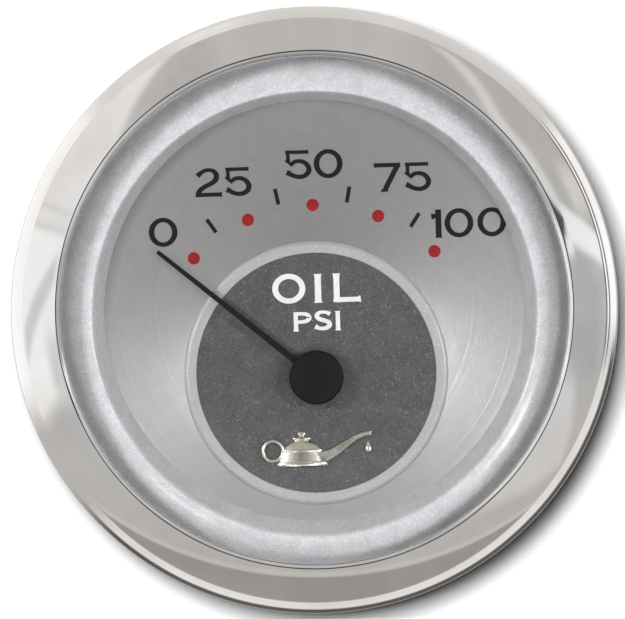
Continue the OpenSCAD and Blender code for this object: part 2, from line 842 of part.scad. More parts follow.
module right_thumb_nut() {
    thumb_nut(1);
}

// Lamp

// Rubber grommet snapped into the rear wall
module lamp_grommet() {
    bore_r = lamp_r + 0.1;
    edge = 0.4;
    groove_r = lamp_hole_r - seat_gap;
    color("black") upright() at_lamp() rotate_extrude($fn = small_fn) polygon([
        [bore_r, back_z - lip_t], [grommet_r - edge, back_z - lip_t], [grommet_r, back_z - lip_t + edge],
        [grommet_r, back_z], [groove_r, back_z], [groove_r, back_in_z],
        [grommet_r - edge, back_in_z], [groove_r, back_in_z + lip_t], [bore_r, back_in_z + lip_t]
    ]);
}

// Thin tube with a bead that stops against the grommet
module lamp_shell() {
    front_z = bulb_seat_z + 2;
    bead_z = back_z - lip_t;
    bead_t = 1;
    bead_r = lamp_r + bead_t;
    color("silver") upright() at_lamp() rotate_extrude($fn = small_fn) polygon([
        [lamp_r - shell_t, front_z], [lamp_r, front_z], [lamp_r, bead_z], [bead_r, bead_z],
        [bead_r, bead_z - bead_t], [lamp_r, bead_z - bead_t], [lamp_r, lamp_back_z],
        [lamp_r - shell_t, lamp_back_z]
    ]);
}

module lamp_insulator() {
    color("saddlebrown") upright() at_lamp()
        sleeve(lamp_r - shell_t - seat_gap, contact_r, plug_back_z, plug_front_z);
}

module lamp_contact() {
    tail = 3.5;
    disc_r = contact_r + 1.1;
    color("goldenrod") upright() at_lamp() {
        bar(contact_r - seat_gap, plug_back_z - tail, plug_front_z + e);
        bar(disc_r, plug_front_z, contact_front_z);
    }
}

// Bayonet cap of the bulb, with its solder pip on the contact
module bulb_base() {
    pip_r = 1.6;
    pin_drop = 3;
    pin_half = lamp_r - shell_t - 0.1;
    color("goldenrod") upright() at_lamp() {
        bar(bulb_r, bulb_back_z, bulb_seat_z);
        bar(pip_r, contact_front_z, bulb_back_z + e);
        translate([0, 0, bulb_seat_z - pin_drop]) rotate([0, 90, 0])
            cylinder(r = 0.5, h = 2 * pin_half, center = true, $fn = 24);
    }
}

module bulb_glass() {
    neck_r = bulb_r - 0.5;
    dome_z = bulb_tip_z - bulb_r;
    color("lightyellow") upright() at_lamp() rotate_extrude($fn = small_fn) polygon(concat(
        [[0, bulb_seat_z], [neck_r, bulb_seat_z]],
        arc(0, dome_z, bulb_r, 0, 90, 12)
    ));
}

// Moving parts of the indicator

module pointer() {
    color("black") upright() at_spindle() difference() {
        rotate([0, 0, pointer_rest]) union() {
            bar(boss_r, pointer_z, pointer_z + pointer_t);
            translate([0, 0, pointer_z]) linear_extrude(pointer_t) polygon([
                [-pointer_root_w / 2, 0], [pointer_root_w / 2, 0],
                [pointer_tip_w / 2, pointer_len], [-pointer_tip_w / 2, pointer_len]
            ]);
        }
        bar(spindle_r + seat_gap, pointer_z - e, pointer_z + pointer_t + e);
    }
}

// Domed cap over the pointer's boss, slotted for the blade
module hub_cap() {
    edge = 0.35;
    dome = 0.15;
    slot_w = pointer_root_w + 0.1;
    foot_z = pointer_z - pointer_t;
    top_z = lens_back_z - hub_glass_gap;
    color("black") upright() at_spindle() difference() {
        revolve(concat(
            [[0, foot_z], [hub_r, foot_z]],
            arc(hub_r - edge, top_z - edge - dome, edge, 0, 80, 6),
            [[hub_r / 2, top_z - dome / 5], [0, top_z]]
        ));
        bar(hub_r - hub_wall, foot_z - e, hub_inside_z);
        bar(spindle_r + seat_gap, hub_inside_z - e, hub_inside_z + spindle_end);
        rotate([0, 0, pointer_rest]) translate([0, hub_r / 2, foot_z])
            cube([slot_w, hub_r + 2, 2 * (hub_inside_z - foot_z)], center = true);
    }
}

module pointer_bush() {
    color("goldenrod") upright() at_spindle()
        sleeve(spindle_r + bush_wall, spindle_r + seat_gap, pointer_z - bush_h, pointer_z);
}

module spindle() {
    color("lightgray") upright() at_spindle()
        bar(spindle_r, bearing_end_z + bearing_floor + end_play, pointer_z + pointer_t + spindle_end);
}

module rotor_magnet() {
    color("dimgray") upright() at_spindle()
        sleeve(magnet_d / 2, spindle_r + seat_gap, movement_z - magnet_t / 2, movement_z + magnet_t / 2);
}

bezel();
lens();
lens_gasket();
trim_ring();
dial_plate();
disc_rim();
centre_disc();
emblem();
case_shell();
dial_carrier();
carrier_screws();
bobbin_front();
bobbin_rear();
inner_coil();
outer_coil();
shield_can();
return_magnet();
spindle_bearings();
coil_pins();
circuit_board();
calibrating_resistor();
board_spacers();
movement_screws();
sender_stud();
supply_stud();
ground_stud();
terminal_insulators();
terminal_washers();
terminal_nuts();
terminal_outer_nuts();
clamp_studs();
lamp_grommet();
pointer();
hub_cap();
pointer_bush();
spindle();
rotor_magnet();
clamp_bracket();
clamp_washers();
left_thumb_nut();
right_thumb_nut();
lamp_shell();
lamp_insulator();
lamp_contact();
bulb_base();
bulb_glass();
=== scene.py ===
"""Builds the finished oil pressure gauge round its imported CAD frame.

Sizes are written in millimetres and turned into metres by at(). Gauge coordinates are x to the
right of the gauge axis, y up the dial and z from the panel seat towards the reader. In the row
frame that is X = x, Y = -z and Z = y.
"""
import math

import bpy
from bpy.props import FloatProperty, FloatVectorProperty, IntProperty, PointerProperty
from mathutils import Matrix, Vector


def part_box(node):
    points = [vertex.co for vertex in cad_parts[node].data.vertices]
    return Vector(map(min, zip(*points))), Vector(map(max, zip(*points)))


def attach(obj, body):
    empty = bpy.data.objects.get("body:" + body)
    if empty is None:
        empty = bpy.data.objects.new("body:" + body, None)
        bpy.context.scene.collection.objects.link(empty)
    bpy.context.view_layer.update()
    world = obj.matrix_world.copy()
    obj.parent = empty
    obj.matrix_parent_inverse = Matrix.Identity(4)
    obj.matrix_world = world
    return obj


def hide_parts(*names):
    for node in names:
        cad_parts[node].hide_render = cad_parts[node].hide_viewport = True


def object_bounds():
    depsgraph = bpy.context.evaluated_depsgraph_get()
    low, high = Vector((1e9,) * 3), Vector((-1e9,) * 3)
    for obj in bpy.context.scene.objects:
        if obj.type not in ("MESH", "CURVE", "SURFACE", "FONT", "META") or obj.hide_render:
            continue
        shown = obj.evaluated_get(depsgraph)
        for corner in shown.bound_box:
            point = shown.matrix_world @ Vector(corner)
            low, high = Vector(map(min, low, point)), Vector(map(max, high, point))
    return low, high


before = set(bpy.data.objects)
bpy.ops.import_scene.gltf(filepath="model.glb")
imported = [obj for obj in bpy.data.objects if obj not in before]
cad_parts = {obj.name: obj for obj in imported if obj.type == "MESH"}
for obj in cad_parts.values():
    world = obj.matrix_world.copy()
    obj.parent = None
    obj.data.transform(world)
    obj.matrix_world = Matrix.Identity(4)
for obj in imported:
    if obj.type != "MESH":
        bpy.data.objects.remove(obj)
CAD_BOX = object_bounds()

bl_info = {
    "name": "Oil Pressure Gauge",
    "version": (1, 0, 0),
    "blender": (4, 5, 0),
    "location": "3D View > Sidebar > Gauge",
    "description": "Builds a panel-mounted oil pressure gauge round its CAD frame",
    "category": "Add Mesh",
}

MM = 0.001
WELD = 2e-6
PHOTO_W, PHOTO_H = 625, 619


# Places and outlines

def at(x, y, z):
    """A point given in gauge millimetres, as metres in the row frame."""
    return Vector((x, -z, y)) * MM


def arc(x, y, radius, start, end, steps=8):
    """Points of an arc, with its angles in degrees."""
    turns = [math.radians(start + (end - start) * i / steps) for i in range(steps + 1)]
    return [(x + radius * math.cos(t), y + radius * math.sin(t)) for t in turns]


def extent(node):
    """A CAD node's lowest and highest corners in gauge millimetres, to the nearest twentieth."""
    low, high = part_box(node)
    corners = (low.x, low.z, -high.y), (high.x, high.z, -low.y)
    return [[round(value / MM * 20) / 20 for value in corner] for corner in corners]


def barrel(node):
    """Outer radius, lowest and highest height of a CAD node turned about its own axis."""
    low, high = extent(node)
    return (high[0] - low[0]) / 2, low[2], high[2]


def middle(node):
    """The middle of a CAD node, seen along the gauge axis."""
    low, high = extent(node)
    return (low[0] + high[0]) / 2, (low[1] + high[1]) / 2


def turned(points, angle, about=(0, 0)):
    """Flat points turned counter-clockwise by an angle in degrees."""
    c, s = math.cos(math.radians(angle)), math.sin(math.radians(angle))
    px, py = about
    return [(px + (x - px) * c - (y - py) * s, py + (x - px) * s + (y - py) * c) for x, y in points]


def eased(points, reach, closed=True, steps=3, sharp=20):
    """An outline with its sharp corners rounded, from at most reach before each one."""
    points = [p for i, p in enumerate(points) if math.dist(p, points[i - 1]) > WELD / MM]
    made = []
    for i, point in enumerate(points):
        here = Vector(point)
        back, ahead = Vector(points[i - 1]) - here, Vector(points[(i + 1) % len(points)]) - here
        last = not closed and i in (0, len(points) - 1)
        if last or back.angle(-ahead) < math.radians(sharp):
            made.append(tuple(point))
            continue
        run = min(reach, back.length * 0.45, ahead.length * 0.45)
        start, stop = here + back.normalized() * run, here + ahead.normalized() * run
        for j in range(steps + 1):
            t = j / steps
            made.append(tuple(start * (1 - t) ** 2 + here * 2 * t * (1 - t) + stop * t * t))
    return made


# Modelling with Blender's own tools

def deselect():
    bpy.ops.object.select_all(action="DESELECT")


def pick_all():
    bpy.ops.mesh.select_all(action="SELECT")


def weld():
    """Merges what coincides in the mesh being edited, all of it selected."""
    pick_all()
    bpy.ops.mesh.remove_doubles(threshold=WELD)


def spin(steps, centre, axis):
    """Turns the traced line once round an axis."""
    pick_all()
    bpy.ops.mesh.spin(steps=steps, angle=2 * math.pi, center=centre, axis=axis)


def thicken(rise):
    """Extrudes the mesh being edited by a vector."""
    pick_all()
    bpy.ops.mesh.extrude_region_move(TRANSFORM_OT_translate={"value": rise})


def rename(piece, name):
    piece.name = name
    piece.data.name = name
    return piece


def begin_vertex(point):
    """One new vertex, alone in edit mode or added to the mesh being edited."""
    if bpy.context.mode == "EDIT_MESH":
        bpy.ops.mesh.select_all(action="DESELECT")
        bpy.ops.mesh.primitive_plane_add(size=MM, location=(0, 0, 0))
    else:
        deselect()
        bpy.ops.mesh.primitive_plane_add(size=MM, enter_editmode=True, location=(0, 0, 0))
        pick_all()
    bpy.ops.mesh.merge(type="CENTER")
    bpy.ops.transform.translate(value=point)


def trace(points, closed=False):
    """Extrudes one vertex through the points, and back to the first when closed."""
    begin_vertex(points[0])
    route = points[1:] + points[:1] if closed else points[1:]
    here = points[0]
    for there in route:
        bpy.ops.mesh.extrude_vertices_move(TRANSFORM_OT_translate={"value": there - here})
        here = there


def close_up(name, angle=32):
    """Welds the mesh being edited, points its faces outwards and leaves edit mode."""
    weld()
    bpy.ops.mesh.normals_make_consistent(inside=False)
    bpy.ops.object.mode_set(mode="OBJECT")
    bpy.ops.object.shade_smooth_by_angle(angle=math.radians(angle))
    return rename(bpy.context.object, name)


def fill_out(name, rise):
    """Fills the traced outline and extrudes it by a vector."""
    pick_all()
    bpy.ops.mesh.edge_face_add()
    thicken(rise)
    return close_up(name)


def lathe(name, section, axis=(0, 0), steps=192, angle=32):
    """Spins a half section of (radius, height) points about a line along the gauge axis."""
    x, y = axis
    trace([at(x + r, y, z) for r, z in section])
    spin(steps, at(x, y, 0), (0, 1, 0))
    return close_up(name, angle)


def ring_lathe(name, section, **settings):
    """A lathed ring, whose section comes back to its first point."""
    return lathe(name, section + section[:1], **settings)


def plate(name, outline, low, high):
    """A flat outline of (x, y) points, filled and extruded from one height to another."""
    trace([at(x, y, low) for x, y in outline])
    return fill_out(name, at(0, 0, high - low))


def ribbon(name, left, right, low, high, closed=False):
    """A strip of faces between two lines of points, extruded to a thin body."""
    trace([at(x, y, low) for x, y in left], closed)
    bpy.ops.mesh.select_all(action="DESELECT")
    trace([at(x, y, low) for x, y in right], closed)
    weld()
    bpy.ops.mesh.bridge_edge_loops()
    thicken(at(0, 0, high - low))
    return close_up(name)


def choose(*pieces):
    """Selects these pieces alone, with the first as the active one."""
    deselect()
    for piece in pieces:
        piece.select_set(True)
    bpy.context.view_layer.objects.active = pieces[0]


def modify(piece, kind, **settings):
    """Adds one modifier with its settings and applies it."""
    choose(piece)
    bpy.ops.object.modifier_add(type=kind)
    modifier = piece.modifiers[-1]
    for key, value in settings.items():
        setattr(modifier, key, value)
    bpy.ops.object.modifier_apply(modifier=modifier.name)
    return piece


def combine(piece, tool, operation):
    """Cuts, unites or intersects a piece with a tool, which is then removed."""
    modify(piece, "BOOLEAN", operation=operation, object=tool, solver="EXACT")
    bpy.data.objects.remove(tool)
    return piece


def cut(piece, tool):
    return combine(piece, tool, "DIFFERENCE")


def unite(pieces):
    """One solid from pieces that overlap."""
    first = pieces[0]
    for other in pieces[1:]:
        combine(first, other, "UNION")
    return first


def join(name, pieces):
    """One object from separate bodies."""
    if len(pieces) > 1:
        choose(*pieces)
        bpy.ops.object.join()
    return rename(pieces[0], name)


def copy_to(piece, name, shift):
    """A copy with its own mesh, moved by a vector in metres."""
    twin = piece.copy()
    twin.data = piece.data.copy()
    bpy.context.collection.objects.link(twin)
    twin.data.transform(Matrix.Translation(shift))
    return rename(twin, name)


def soften(piece, width, segments=2, angle=35):
    """Rounds the sharp edges of a piece."""
    modify(piece, "BEVEL", width=width * MM, segments=segments, limit_method="ANGLE",
           angle_limit=math.radians(angle), use_clamp_overlap=True)
    return smooth(piece, angle)


def smooth(piece, angle=32):
    """Shades a piece smooth, but for its edges over an angle in degrees."""
    choose(piece)
    bpy.ops.object.shade_smooth_by_angle(angle=math.radians(angle))
    return piece


def oblong(left, low, right, high):
    """The corners of a rectangle, counter-clockwise."""
    return [(left, low), (right, low), (right, high), (left, high)]


def bar(name, radius, low, high, axis=(0, 0), steps=64):
    """A plain round tool for cutting holes."""
    return lathe(name, [(0, low), (radius, low), (radius, high), (0, high)], axis, steps)


def washer_section(inner, outer, low, high, edge=0.12):
    """Half section of a flat ring with rounded outer edges."""
    return ([(inner, low), (outer - edge, low)]
            + arc(outer - edge, low + edge, edge, -90, 0, 3)
            + arc(outer - edge, high - edge, edge, 0, 90, 3)
            + [(inner, high)])


# Materials

class Value:
    """A socket in a material, so that shader maths reads as an expression."""

    def __init__(self, nodes, socket):
        self.nodes = nodes
        self.socket = socket

    def _math(self, operation, *values):
        return self.nodes.maths(operation, *values)

    def __add__(self, other):
        return self._math("ADD", self, other)

    def __sub__(self, other):
        return self._math("SUBTRACT", self, other)

    def __mul__(self, other):
        return self._math("MULTIPLY", self, other)

    def __truediv__(self, other):
        return self._math("DIVIDE", self, other)

    def __pow__(self, other):
        return self._math("POWER", self, other)

    def __rsub__(self, other):
        return self._math("SUBTRACT", other, self)

    def __rtruediv__(self, other):
        return self._math("DIVIDE", other, self)

    __radd__ = __add__
    __rmul__ = __mul__


class Nodes:
    """A shader tree under construction."""

    def __init__(self, holder):
        holder.use_nodes = True
        self.tree = holder.node_tree
        self.tree.nodes.clear()

    def node(self, kind, settings=None, sockets=None, output=0):
        """Adds a node, sets it up, fills its sockets with values or links, returns an output."""
        made = self.tree.nodes.new(kind)
        for key, value in (settings or {}).items():
            if key == "stops":
                self._stops(made.color_ramp, value)
            else:
                setattr(made, key, value)
        for key, value in (sockets or {}).items():
            if isinstance(value, Value):
                self.tree.links.new(value.socket, made.inputs[key])
            else:
                made.inputs[key].default_value = value
        return Value(self, made.outputs[output]) if len(made.outputs) else made

    @staticmethod
    def _stops(ramp, stops):
        while len(ramp.elements) < len(stops):
            ramp.elements.new(0.5)
        for element, (place, colour) in zip(ramp.elements, stops):
            element.position = place
            element.color = colour if len(colour) == 4 else (*colour, 1)

    def maths(self, operation, *values):
        return self.node("ShaderNodeMath", {"operation": operation}, dict(enumerate(values)))

    def vector(self, operation, *values, output=0):
        return self.node("ShaderNodeVectorMath", {"operation": operation},
                         dict(enumerate(values)), output)

    def parts(self, value):
        """The three numbers of a vector."""
        split = self.node("ShaderNodeSeparateXYZ", sockets={0: value})
        outputs = split.socket.node.outputs
        return [Value(self, outputs[i]) for i in range(3)]

    def steps(self, value, low, high, bottom=0.0, top=1.0, kind="LINEAR"):
        """A number mapped from one range to another and clamped."""
        return self.node("ShaderNodeMapRange", {"clamp": True, "interpolation_type": kind}, {
            "Value": value, "From Min": low, "From Max": high, "To Min": bottom, "To Max": top})

    def blend(self, factor, one, two):
        """A colour between two colours."""
        return self.node("ShaderNodeMix", {"data_type": "RGBA"}, {
            0: factor, 6: self.colour(one), 7: self.colour(two)}, 2)

    @staticmethod
    def colour(value):
        return value if isinstance(value, Value) or len(value) == 4 else (*value, 1)


class Finish(Nodes):
    """A material under construction, its patterns laid out in the object's own coordinates."""

    def __init__(self, name):
        self.material = bpy.data.materials.new(name)
        super().__init__(self.material)
        self.place = self.node("ShaderNodeTexCoord", output="Object")

    def noise(self, scale, detail=3, roughness=0.55, place=None):
        """Fractal noise from 0 to 1, its scale in features per metre."""
        return self.node("ShaderNodeTexNoise", sockets={
            "Vector": place or self.place, "Scale": scale, "Detail": detail,
            "Roughness": roughness})

    def speckle(self, scale, place=None):
        """A random number for each of many small cells."""
        cell = self.node("ShaderNodeTexVoronoi", sockets={
            "Vector": place or self.place, "Scale": scale}, output="Color")
        return self.parts(cell)[0]

    def radius(self, x=0.0, y=0.0):
        """Distance from a line along the gauge axis through a point in gauge millimetres."""
        across = self.vector("SUBTRACT", self.place, (x * MM, 0, y * MM))
        flat = self.vector("MULTIPLY", across, (1, 0, 1))
        return self.vector("LENGTH", flat, output="Value")

    def rings(self, radius, scale, detail=2):
        """Noise that changes with the radius alone, as turning and brushing leave it."""
        line = self.node("ShaderNodeCombineXYZ", sockets={0: radius})
        return self.noise(scale, detail, 0.7, line)

    def bump(self, height, strength, depth, under=None):
        """A normal from a height pattern, its depth in millimetres."""
        sockets = {"Height": height, "Strength": strength, "Distance": depth * MM}
        if under:
            sockets["Normal"] = under
        return self.node("ShaderNodeBump", sockets=sockets)

    def surface(self, **sockets):
        """Ends the material in a Principled shader. Underscores in names stand for spaces."""
        filled = {key.replace("_", " "): value for key, value in sockets.items()}
        base = filled.get("Base Color")
        if base is not None:
            filled["Base Color"] = self.colour(base)
        return self.finish(self.node("ShaderNodeBsdfPrincipled", sockets=filled))

    def finish(self, shader):
        self.node("ShaderNodeOutputMaterial", sockets={"Surface": shader})
        return self.material


def linear(red, green, blue):
    """A colour given on the 0 to 255 scale, as Blender's linear values."""
    def straight(level):
        level /= 255
        return level / 12.92 if level <= 0.04045 else ((level + 0.055) / 1.055) ** 2.4
    return (straight(red), straight(green), straight(blue))


def darker(tint, share):
    """A share of a colour's light."""
    return tuple(level * share for level in tint)


def dress(piece, material, slot, *nodes, body="gauge_body"):
    """Gives a piece its material, hides the CAD nodes it stands for and attaches it to its body.
    The slot argument is not used.
    """
    piece.data.materials.clear()
    piece.data.materials.append(material)
    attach(piece, body)
    if nodes:
        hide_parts(*nodes)
    return piece


# Finishes

def polished_stainless():
    f = Finish("polished_stainless")
    radius = f.radius()
    haze = f.noise(90, 4)
    lines = f.rings(radius, 9000)
    fine = f.bump(f.noise(160, 2), 0.35, 0.02)
    normal = f.bump(lines, 0.08, 0.004, fine)
    rough = f.steps(haze * 0.7 + lines * 0.3, 0.35, 0.7, 0.035, 0.085)
    tint = f.blend(f.steps(haze, 0.35, 0.65), linear(226, 225, 223), linear(238, 238, 239))
    return f.surface(Base_Color=tint, Metallic=1.0, Roughness=rough, Normal=normal)


def thin_glass(name, tint, rough):
    """Clear glass that shines on its outer faces and lets slanting light out through inner ones."""
    f = Finish(name)
    clear = f.node("ShaderNodeBsdfTransparent", sockets={"Color": tint})
    shine = f.node("ShaderNodeBsdfGlossy", sockets={"Color": (1, 1, 1, 1), "Roughness": rough})
    inner = f.node("ShaderNodeNewGeometry", output="Backfacing")
    share = f.node("ShaderNodeFresnel", sockets={"IOR": 1.45}) * (1 - inner)
    return f.finish(f.node("ShaderNodeMixShader", sockets={0: share, 1: clear, 2: shine}))


def metallic_paint(name, dark, light, size, flake, metal, rough, sparkle, painted_shade=(), coat=0.15):
    """Paint with small metal flakes: each flake has its own lightness and tilt.

    painted_shade gives rows of two radii in millimetres and a share: the colour darkens towards the
    second radius, as painted shade.
    """
    f = Finish(name)
    grain = f.speckle(1000 / size)
    cloud = f.noise(450, 4, 0.65)
    tone = f.blend(f.steps(grain * flake + cloud * (1 - flake), 0.3, 0.72), dark, light)
    glint = f.steps(f.speckle(1000 / (size * 1.7)), 0.93, 0.99)
    tone = f.blend(glint * sparkle, tone, (0.92, 0.92, 0.95))
    # Painted shade: the colour darkens with the radius about the gauge axis, standing in for shade
    # where less light reaches.
    for unshaded_r, shaded_r, share in painted_shade:
        low = f.steps(f.radius(0, -0.4), unshaded_r * MM, shaded_r * MM, 0.0, share)
        tone = f.blend(low, tone, darker(dark, 0.2))
    tilt = f.bump(grain, 0.5, size * 0.16)
    normal = f.bump(f.noise(1500, 2), 0.25, 0.02, tilt)
    return f.surface(Base_Color=tone, Metallic=metal, Roughness=rough + 0.12 * (1 - glint),
                     Normal=normal, Coat_Weight=coat, Coat_Roughness=0.14)


def brushed_dial(tone):
    """Circular brushing, whose grooves face the middle of the dial more than its edge."""
    f = Finish("brushed_dial")
    lean, depth = 0.4, 0.05
    radius = f.radius()
    lines = f.rings(radius, 7000, 3)
    broad = f.rings(radius, 1500, 3)
    wobble = f.noise(3500, 2)
    grain = f.noise(700, 4, 0.7)
    brush = lines * 0.7 + broad * 0.2 + wobble * 0.1
    shade = f.steps(brush * 0.75 + grain * 0.25, 0.3, 0.7, 0.84, 1.12)
    tint = f.node("ShaderNodeVectorMath", {"operation": "SCALE"}, {0: tone, "Scale": shade})
    facing = radius * (lean / (depth * MM))
    normal = f.bump(brush + facing, 0.75, depth)
    return f.surface(Base_Color=tint, Metallic=0.6, Roughness=f.steps(brush, 0.3, 0.7, 0.26, 0.4),
                     Normal=normal)


def turned_metal(name, tint, rough, axis, scale):
    """Metal with tool rings about its own axis and a little uneven tarnish."""
    f = Finish(name)
    lines = f.rings(f.radius(*axis), scale)
    cloud = f.noise(260, 5, 0.6)
    tone = f.blend(f.steps(cloud, 0.42, 0.75) * 0.25, tint, darker(tint, 0.62))
    spread = f.steps(lines * 0.5 + cloud * 0.5, 0.3, 0.7, rough * 0.75, rough * 1.35)
    normal = f.bump(f.noise(1800, 3), 0.2, 0.02, f.bump(lines, 0.25, 0.015))
    return f.surface(Base_Color=tone, Metallic=1.0, Roughness=spread, Normal=normal)


def plain_metal(name, tint, rough=0.3, stain=0.3, scale=300, pit=0.02):
    """Plated or bare metal with a mottled grain and darker tarnish."""
    f = Finish(name)
    cloud = f.noise(scale, 5, 0.62)
    fine = f.noise(scale * 9, 3)
    tone = f.blend(f.steps(cloud, 0.45, 0.78) * stain, tint, darker(tint, 0.55))
    spread = f.steps(cloud * 0.6 + fine * 0.4, 0.3, 0.7, rough * 0.7, rough * 1.4)
    return f.surface(Base_Color=tone, Metallic=1.0, Roughness=spread,
                     Normal=f.bump(fine * 0.5 + cloud * 0.5, 0.3, pit))


def moulding(name, tint, rough, mottle=0.12, pit=0.015, gloss=0.5):
    """Moulded plastic, rubber or fibre with a fine skin texture."""
    f = Finish(name)
    cloud = f.noise(180, 4)
    skin = f.noise(3200, 2)
    tone = f.blend(f.steps(cloud, 0.35, 0.7), tint, darker(tint, 1 - mottle * 2))
    return f.surface(Base_Color=tone, Roughness=f.steps(skin, 0.3, 0.7, rough * 0.88, rough * 1.15),
                     Normal=f.bump(skin, 0.35, pit), Specular_IOR_Level=gloss)


def fibre(name, tint):
    """Pressed fibre: short crossed threads in a waxy brown sheet."""
    f = Finish(name)
    one = f.noise(1, 4, 0.7, f.vector("MULTIPLY", f.place, (700, 2600, 4200)))
    two = f.noise(1, 4, 0.7, f.vector("MULTIPLY", f.place, (4200, 2600, 700)))
    threads = one * 0.5 + two * 0.5
    tone = f.blend(f.steps(threads, 0.35, 0.68), darker(tint, 0.6), tint)
    return f.surface(Base_Color=tone, Roughness=0.55, Normal=f.bump(threads, 0.4, 0.04))


def wound_wire(name, tint, line):
    """Enamelled wire of 0.18 mm, laid side by side along one direction."""
    f = Finish(name)
    along = f.vector("DOT_PRODUCT", f.place, line, output="Value")
    wave = f.maths("SINE", along * (2 * math.pi / (0.18 * MM)))
    ridge = wave * 0.5 + 0.5
    cloud = f.noise(900, 3)
    # The tone darkens in the grooves between the turns of wire: painted shade.
    tone = f.blend(ridge * 0.7 + cloud * 0.3, darker(tint, 0.35), tint)
    return f.surface(Base_Color=tone, Metallic=0.75, Roughness=0.3, Coat_Weight=0.6,
                     Normal=f.bump(ridge, 0.8, 0.05))


def circuit_board():
    f = Finish("circuit_board")
    weave = f.noise(1, 2, 0.5, f.vector("MULTIPLY", f.place, (5200, 900, 2300)))
    tone = f.blend(f.steps(weave, 0.35, 0.7), (0.012, 0.075, 0.028), (0.02, 0.13, 0.045))
    return f.surface(Base_Color=tone, Roughness=0.35, Coat_Weight=0.5,
                     Normal=f.bump(weave, 0.2, 0.02))


def printed_ink(name, tint, rough=0.5):
    """Screen ink: slightly uneven, with a soft raised skin."""
    f = Finish(name)
    skin = f.noise(4200, 3)
    cloud = f.noise(900, 2)
    tone = f.blend(f.steps(cloud * 0.5 + skin * 0.5, 0.35, 0.68), tint, darker(tint, 0.88))
    return f.surface(Base_Color=tone, Roughness=f.steps(skin, 0.3, 0.7, rough * 0.85, rough * 1.15),
                     Specular_IOR_Level=0.2, Normal=f.bump(skin, 0.2, 0.01))


def cast_nickel():
    f = Finish("nickel_emblem")
    cloud = f.noise(900, 4, 0.6)
    tone = f.blend(f.steps(cloud, 0.35, 0.68), linear(222, 219, 209), linear(190, 186, 174))
    return f.surface(Base_Color=tone, Metallic=1.0, Roughness=f.steps(cloud, 0.3, 0.7, 0.2, 0.34),
                     Normal=f.bump(cloud, 0.3, 0.012))


# Settings shown in the panel

def tint_property(name, description, red, green, blue):
    return FloatVectorProperty(name=name, description=description, subtype="COLOR", size=3,
                               min=0, max=1, default=linear(red, green, blue))


def length_property(name, description, default, low, high):
    return FloatProperty(name=name, description=description, default=default * MM,
                         min=low * MM, max=high * MM, subtype="DISTANCE", unit="LENGTH",
                         precision=5)


class GaugeColours(bpy.types.PropertyGroup):
    """Colours of the gauge's paints, plates and inks"""
    dial: tint_property("Dial", "Brushed silver of the dial plate", 152, 150, 151)
    ring_dark: tint_property("Ring, dark", "Darkest flakes of the trim ring's paint", 201, 200, 205)
    ring_light: tint_property("Ring, light", "Lightest flakes of the ring's paint", 230, 229, 234)
    disc_dark: tint_property("Disc, dark", "Darkest flakes of the centre disc", 70, 70, 71)
    disc_light: tint_property("Disc, light", "Lightest flakes of the centre disc", 96, 96, 98)
    rim: tint_property("Disc rim", "Pale paint round the centre disc", 183, 182, 182)
    numerals: tint_property("Numerals", "Black ink of numerals and ticks", 14, 14, 13)
    dots: tint_property("Dots", "Red ink of the scale's dots", 152, 27, 33)
    words: tint_property("Words", "White ink on the centre disc", 243, 243, 246)
    pointer: tint_property("Pointer", "Paint of the pointer", 22, 22, 20)
    hub: tint_property("Hub cap", "Moulded black of the hub cap", 26, 26, 25)


class GaugeSizes(bpy.types.PropertyGroup):
    """Sizes of the print, the pointer and the fine rounding"""
    dot: length_property("Dot diameter", "Diameter of the scale's dots", 1.5, 0.5, 3)
    dot_radius: length_property("Dot circle", "Radius on which the dots stand", 20.5, 15, 24)
    tick: length_property("Tick length", "Length of the ticks between the dots", 1.93, 0.5, 4)
    tick_width: length_property("Tick width", "Width of the ticks", 0.46, 0.1, 1)
    tick_radius: length_property("Tick circle", "Radius of the middle of the ticks", 22.05, 15, 25)
    ink: length_property("Ink", "Thickness of every print", 0.03, 0.005, 0.1)
    knurls: IntProperty(name="Knurls", description="Ridges round each thumb nut", default=48,
                        min=12, max=90)


class GaugeLight(bpy.types.PropertyGroup):
    """Share of each studio lamp's power"""
    key: FloatProperty(name="Key", description="Share of the key lamp's power", default=1.0,
                       min=0, max=10, subtype="FACTOR")
    fill: FloatProperty(name="Fill", description="Share of the other lamps' power", default=1.0,
                        min=0, max=10, subtype="FACTOR")


def colours():
    return bpy.context.scene.gauge_colours


def sizes():
    return bpy.context.scene.gauge_sizes


# Shape of the gauge in gauge millimetres. What the CAD fixes is read from its nodes.

BEZEL_R, _, FACE_Z = barrel("bezel")
FLANGE_R, BACK, FLANGE_Z = barrel("case_shell")
CASE_R, CASE_WALL = 32.9, 0.8
CASE_IN_R, BACK_IN = CASE_R - CASE_WALL, BACK + CASE_WALL
LENS_R, LENS_LOW, LENS_HIGH = barrel("lens")
GASKET_Z, GASKET_W = barrel("lens_gasket")[1], 1.7
RING_R, _, RING_TOP = barrel("trim_ring")
WINDOW_R = 25.3
DIAL_R, DIAL_BACK, DIAL_Z = barrel("dial_plate")
DISC_R, _, DISC_Z = barrel("centre_disc")
DISC_RIM_R, DISC_CENTRE = barrel("disc_rim")[0], middle("centre_disc")
HUB_R, HUB_LOW, HUB_HIGH = barrel("hub_cap")
PIVOT = middle("hub_cap")
POINTER_Z, POINTER_HIGH = extent("pointer")[0][2], extent("pointer")[1][2]
POINTER_LEN, POINTER_REST = 24.4, 50
PRINT_CENTRE = (0.15, -7.85)
STUD_R, THREAD_PITCH, THREAD_DEPTH = 2.08, 0.794, 0.4
STUD_BORE = STUD_R + 0.02
STUD_NODES = ("sender_stud", "supply_stud", "ground_stud")
TERMINALS, STUD_END = [middle(node) for node in STUD_NODES], extent("supply_stud")[0][2]
CLAMP_STUDS = [middle("left_thumb_nut"), middle("right_thumb_nut")]
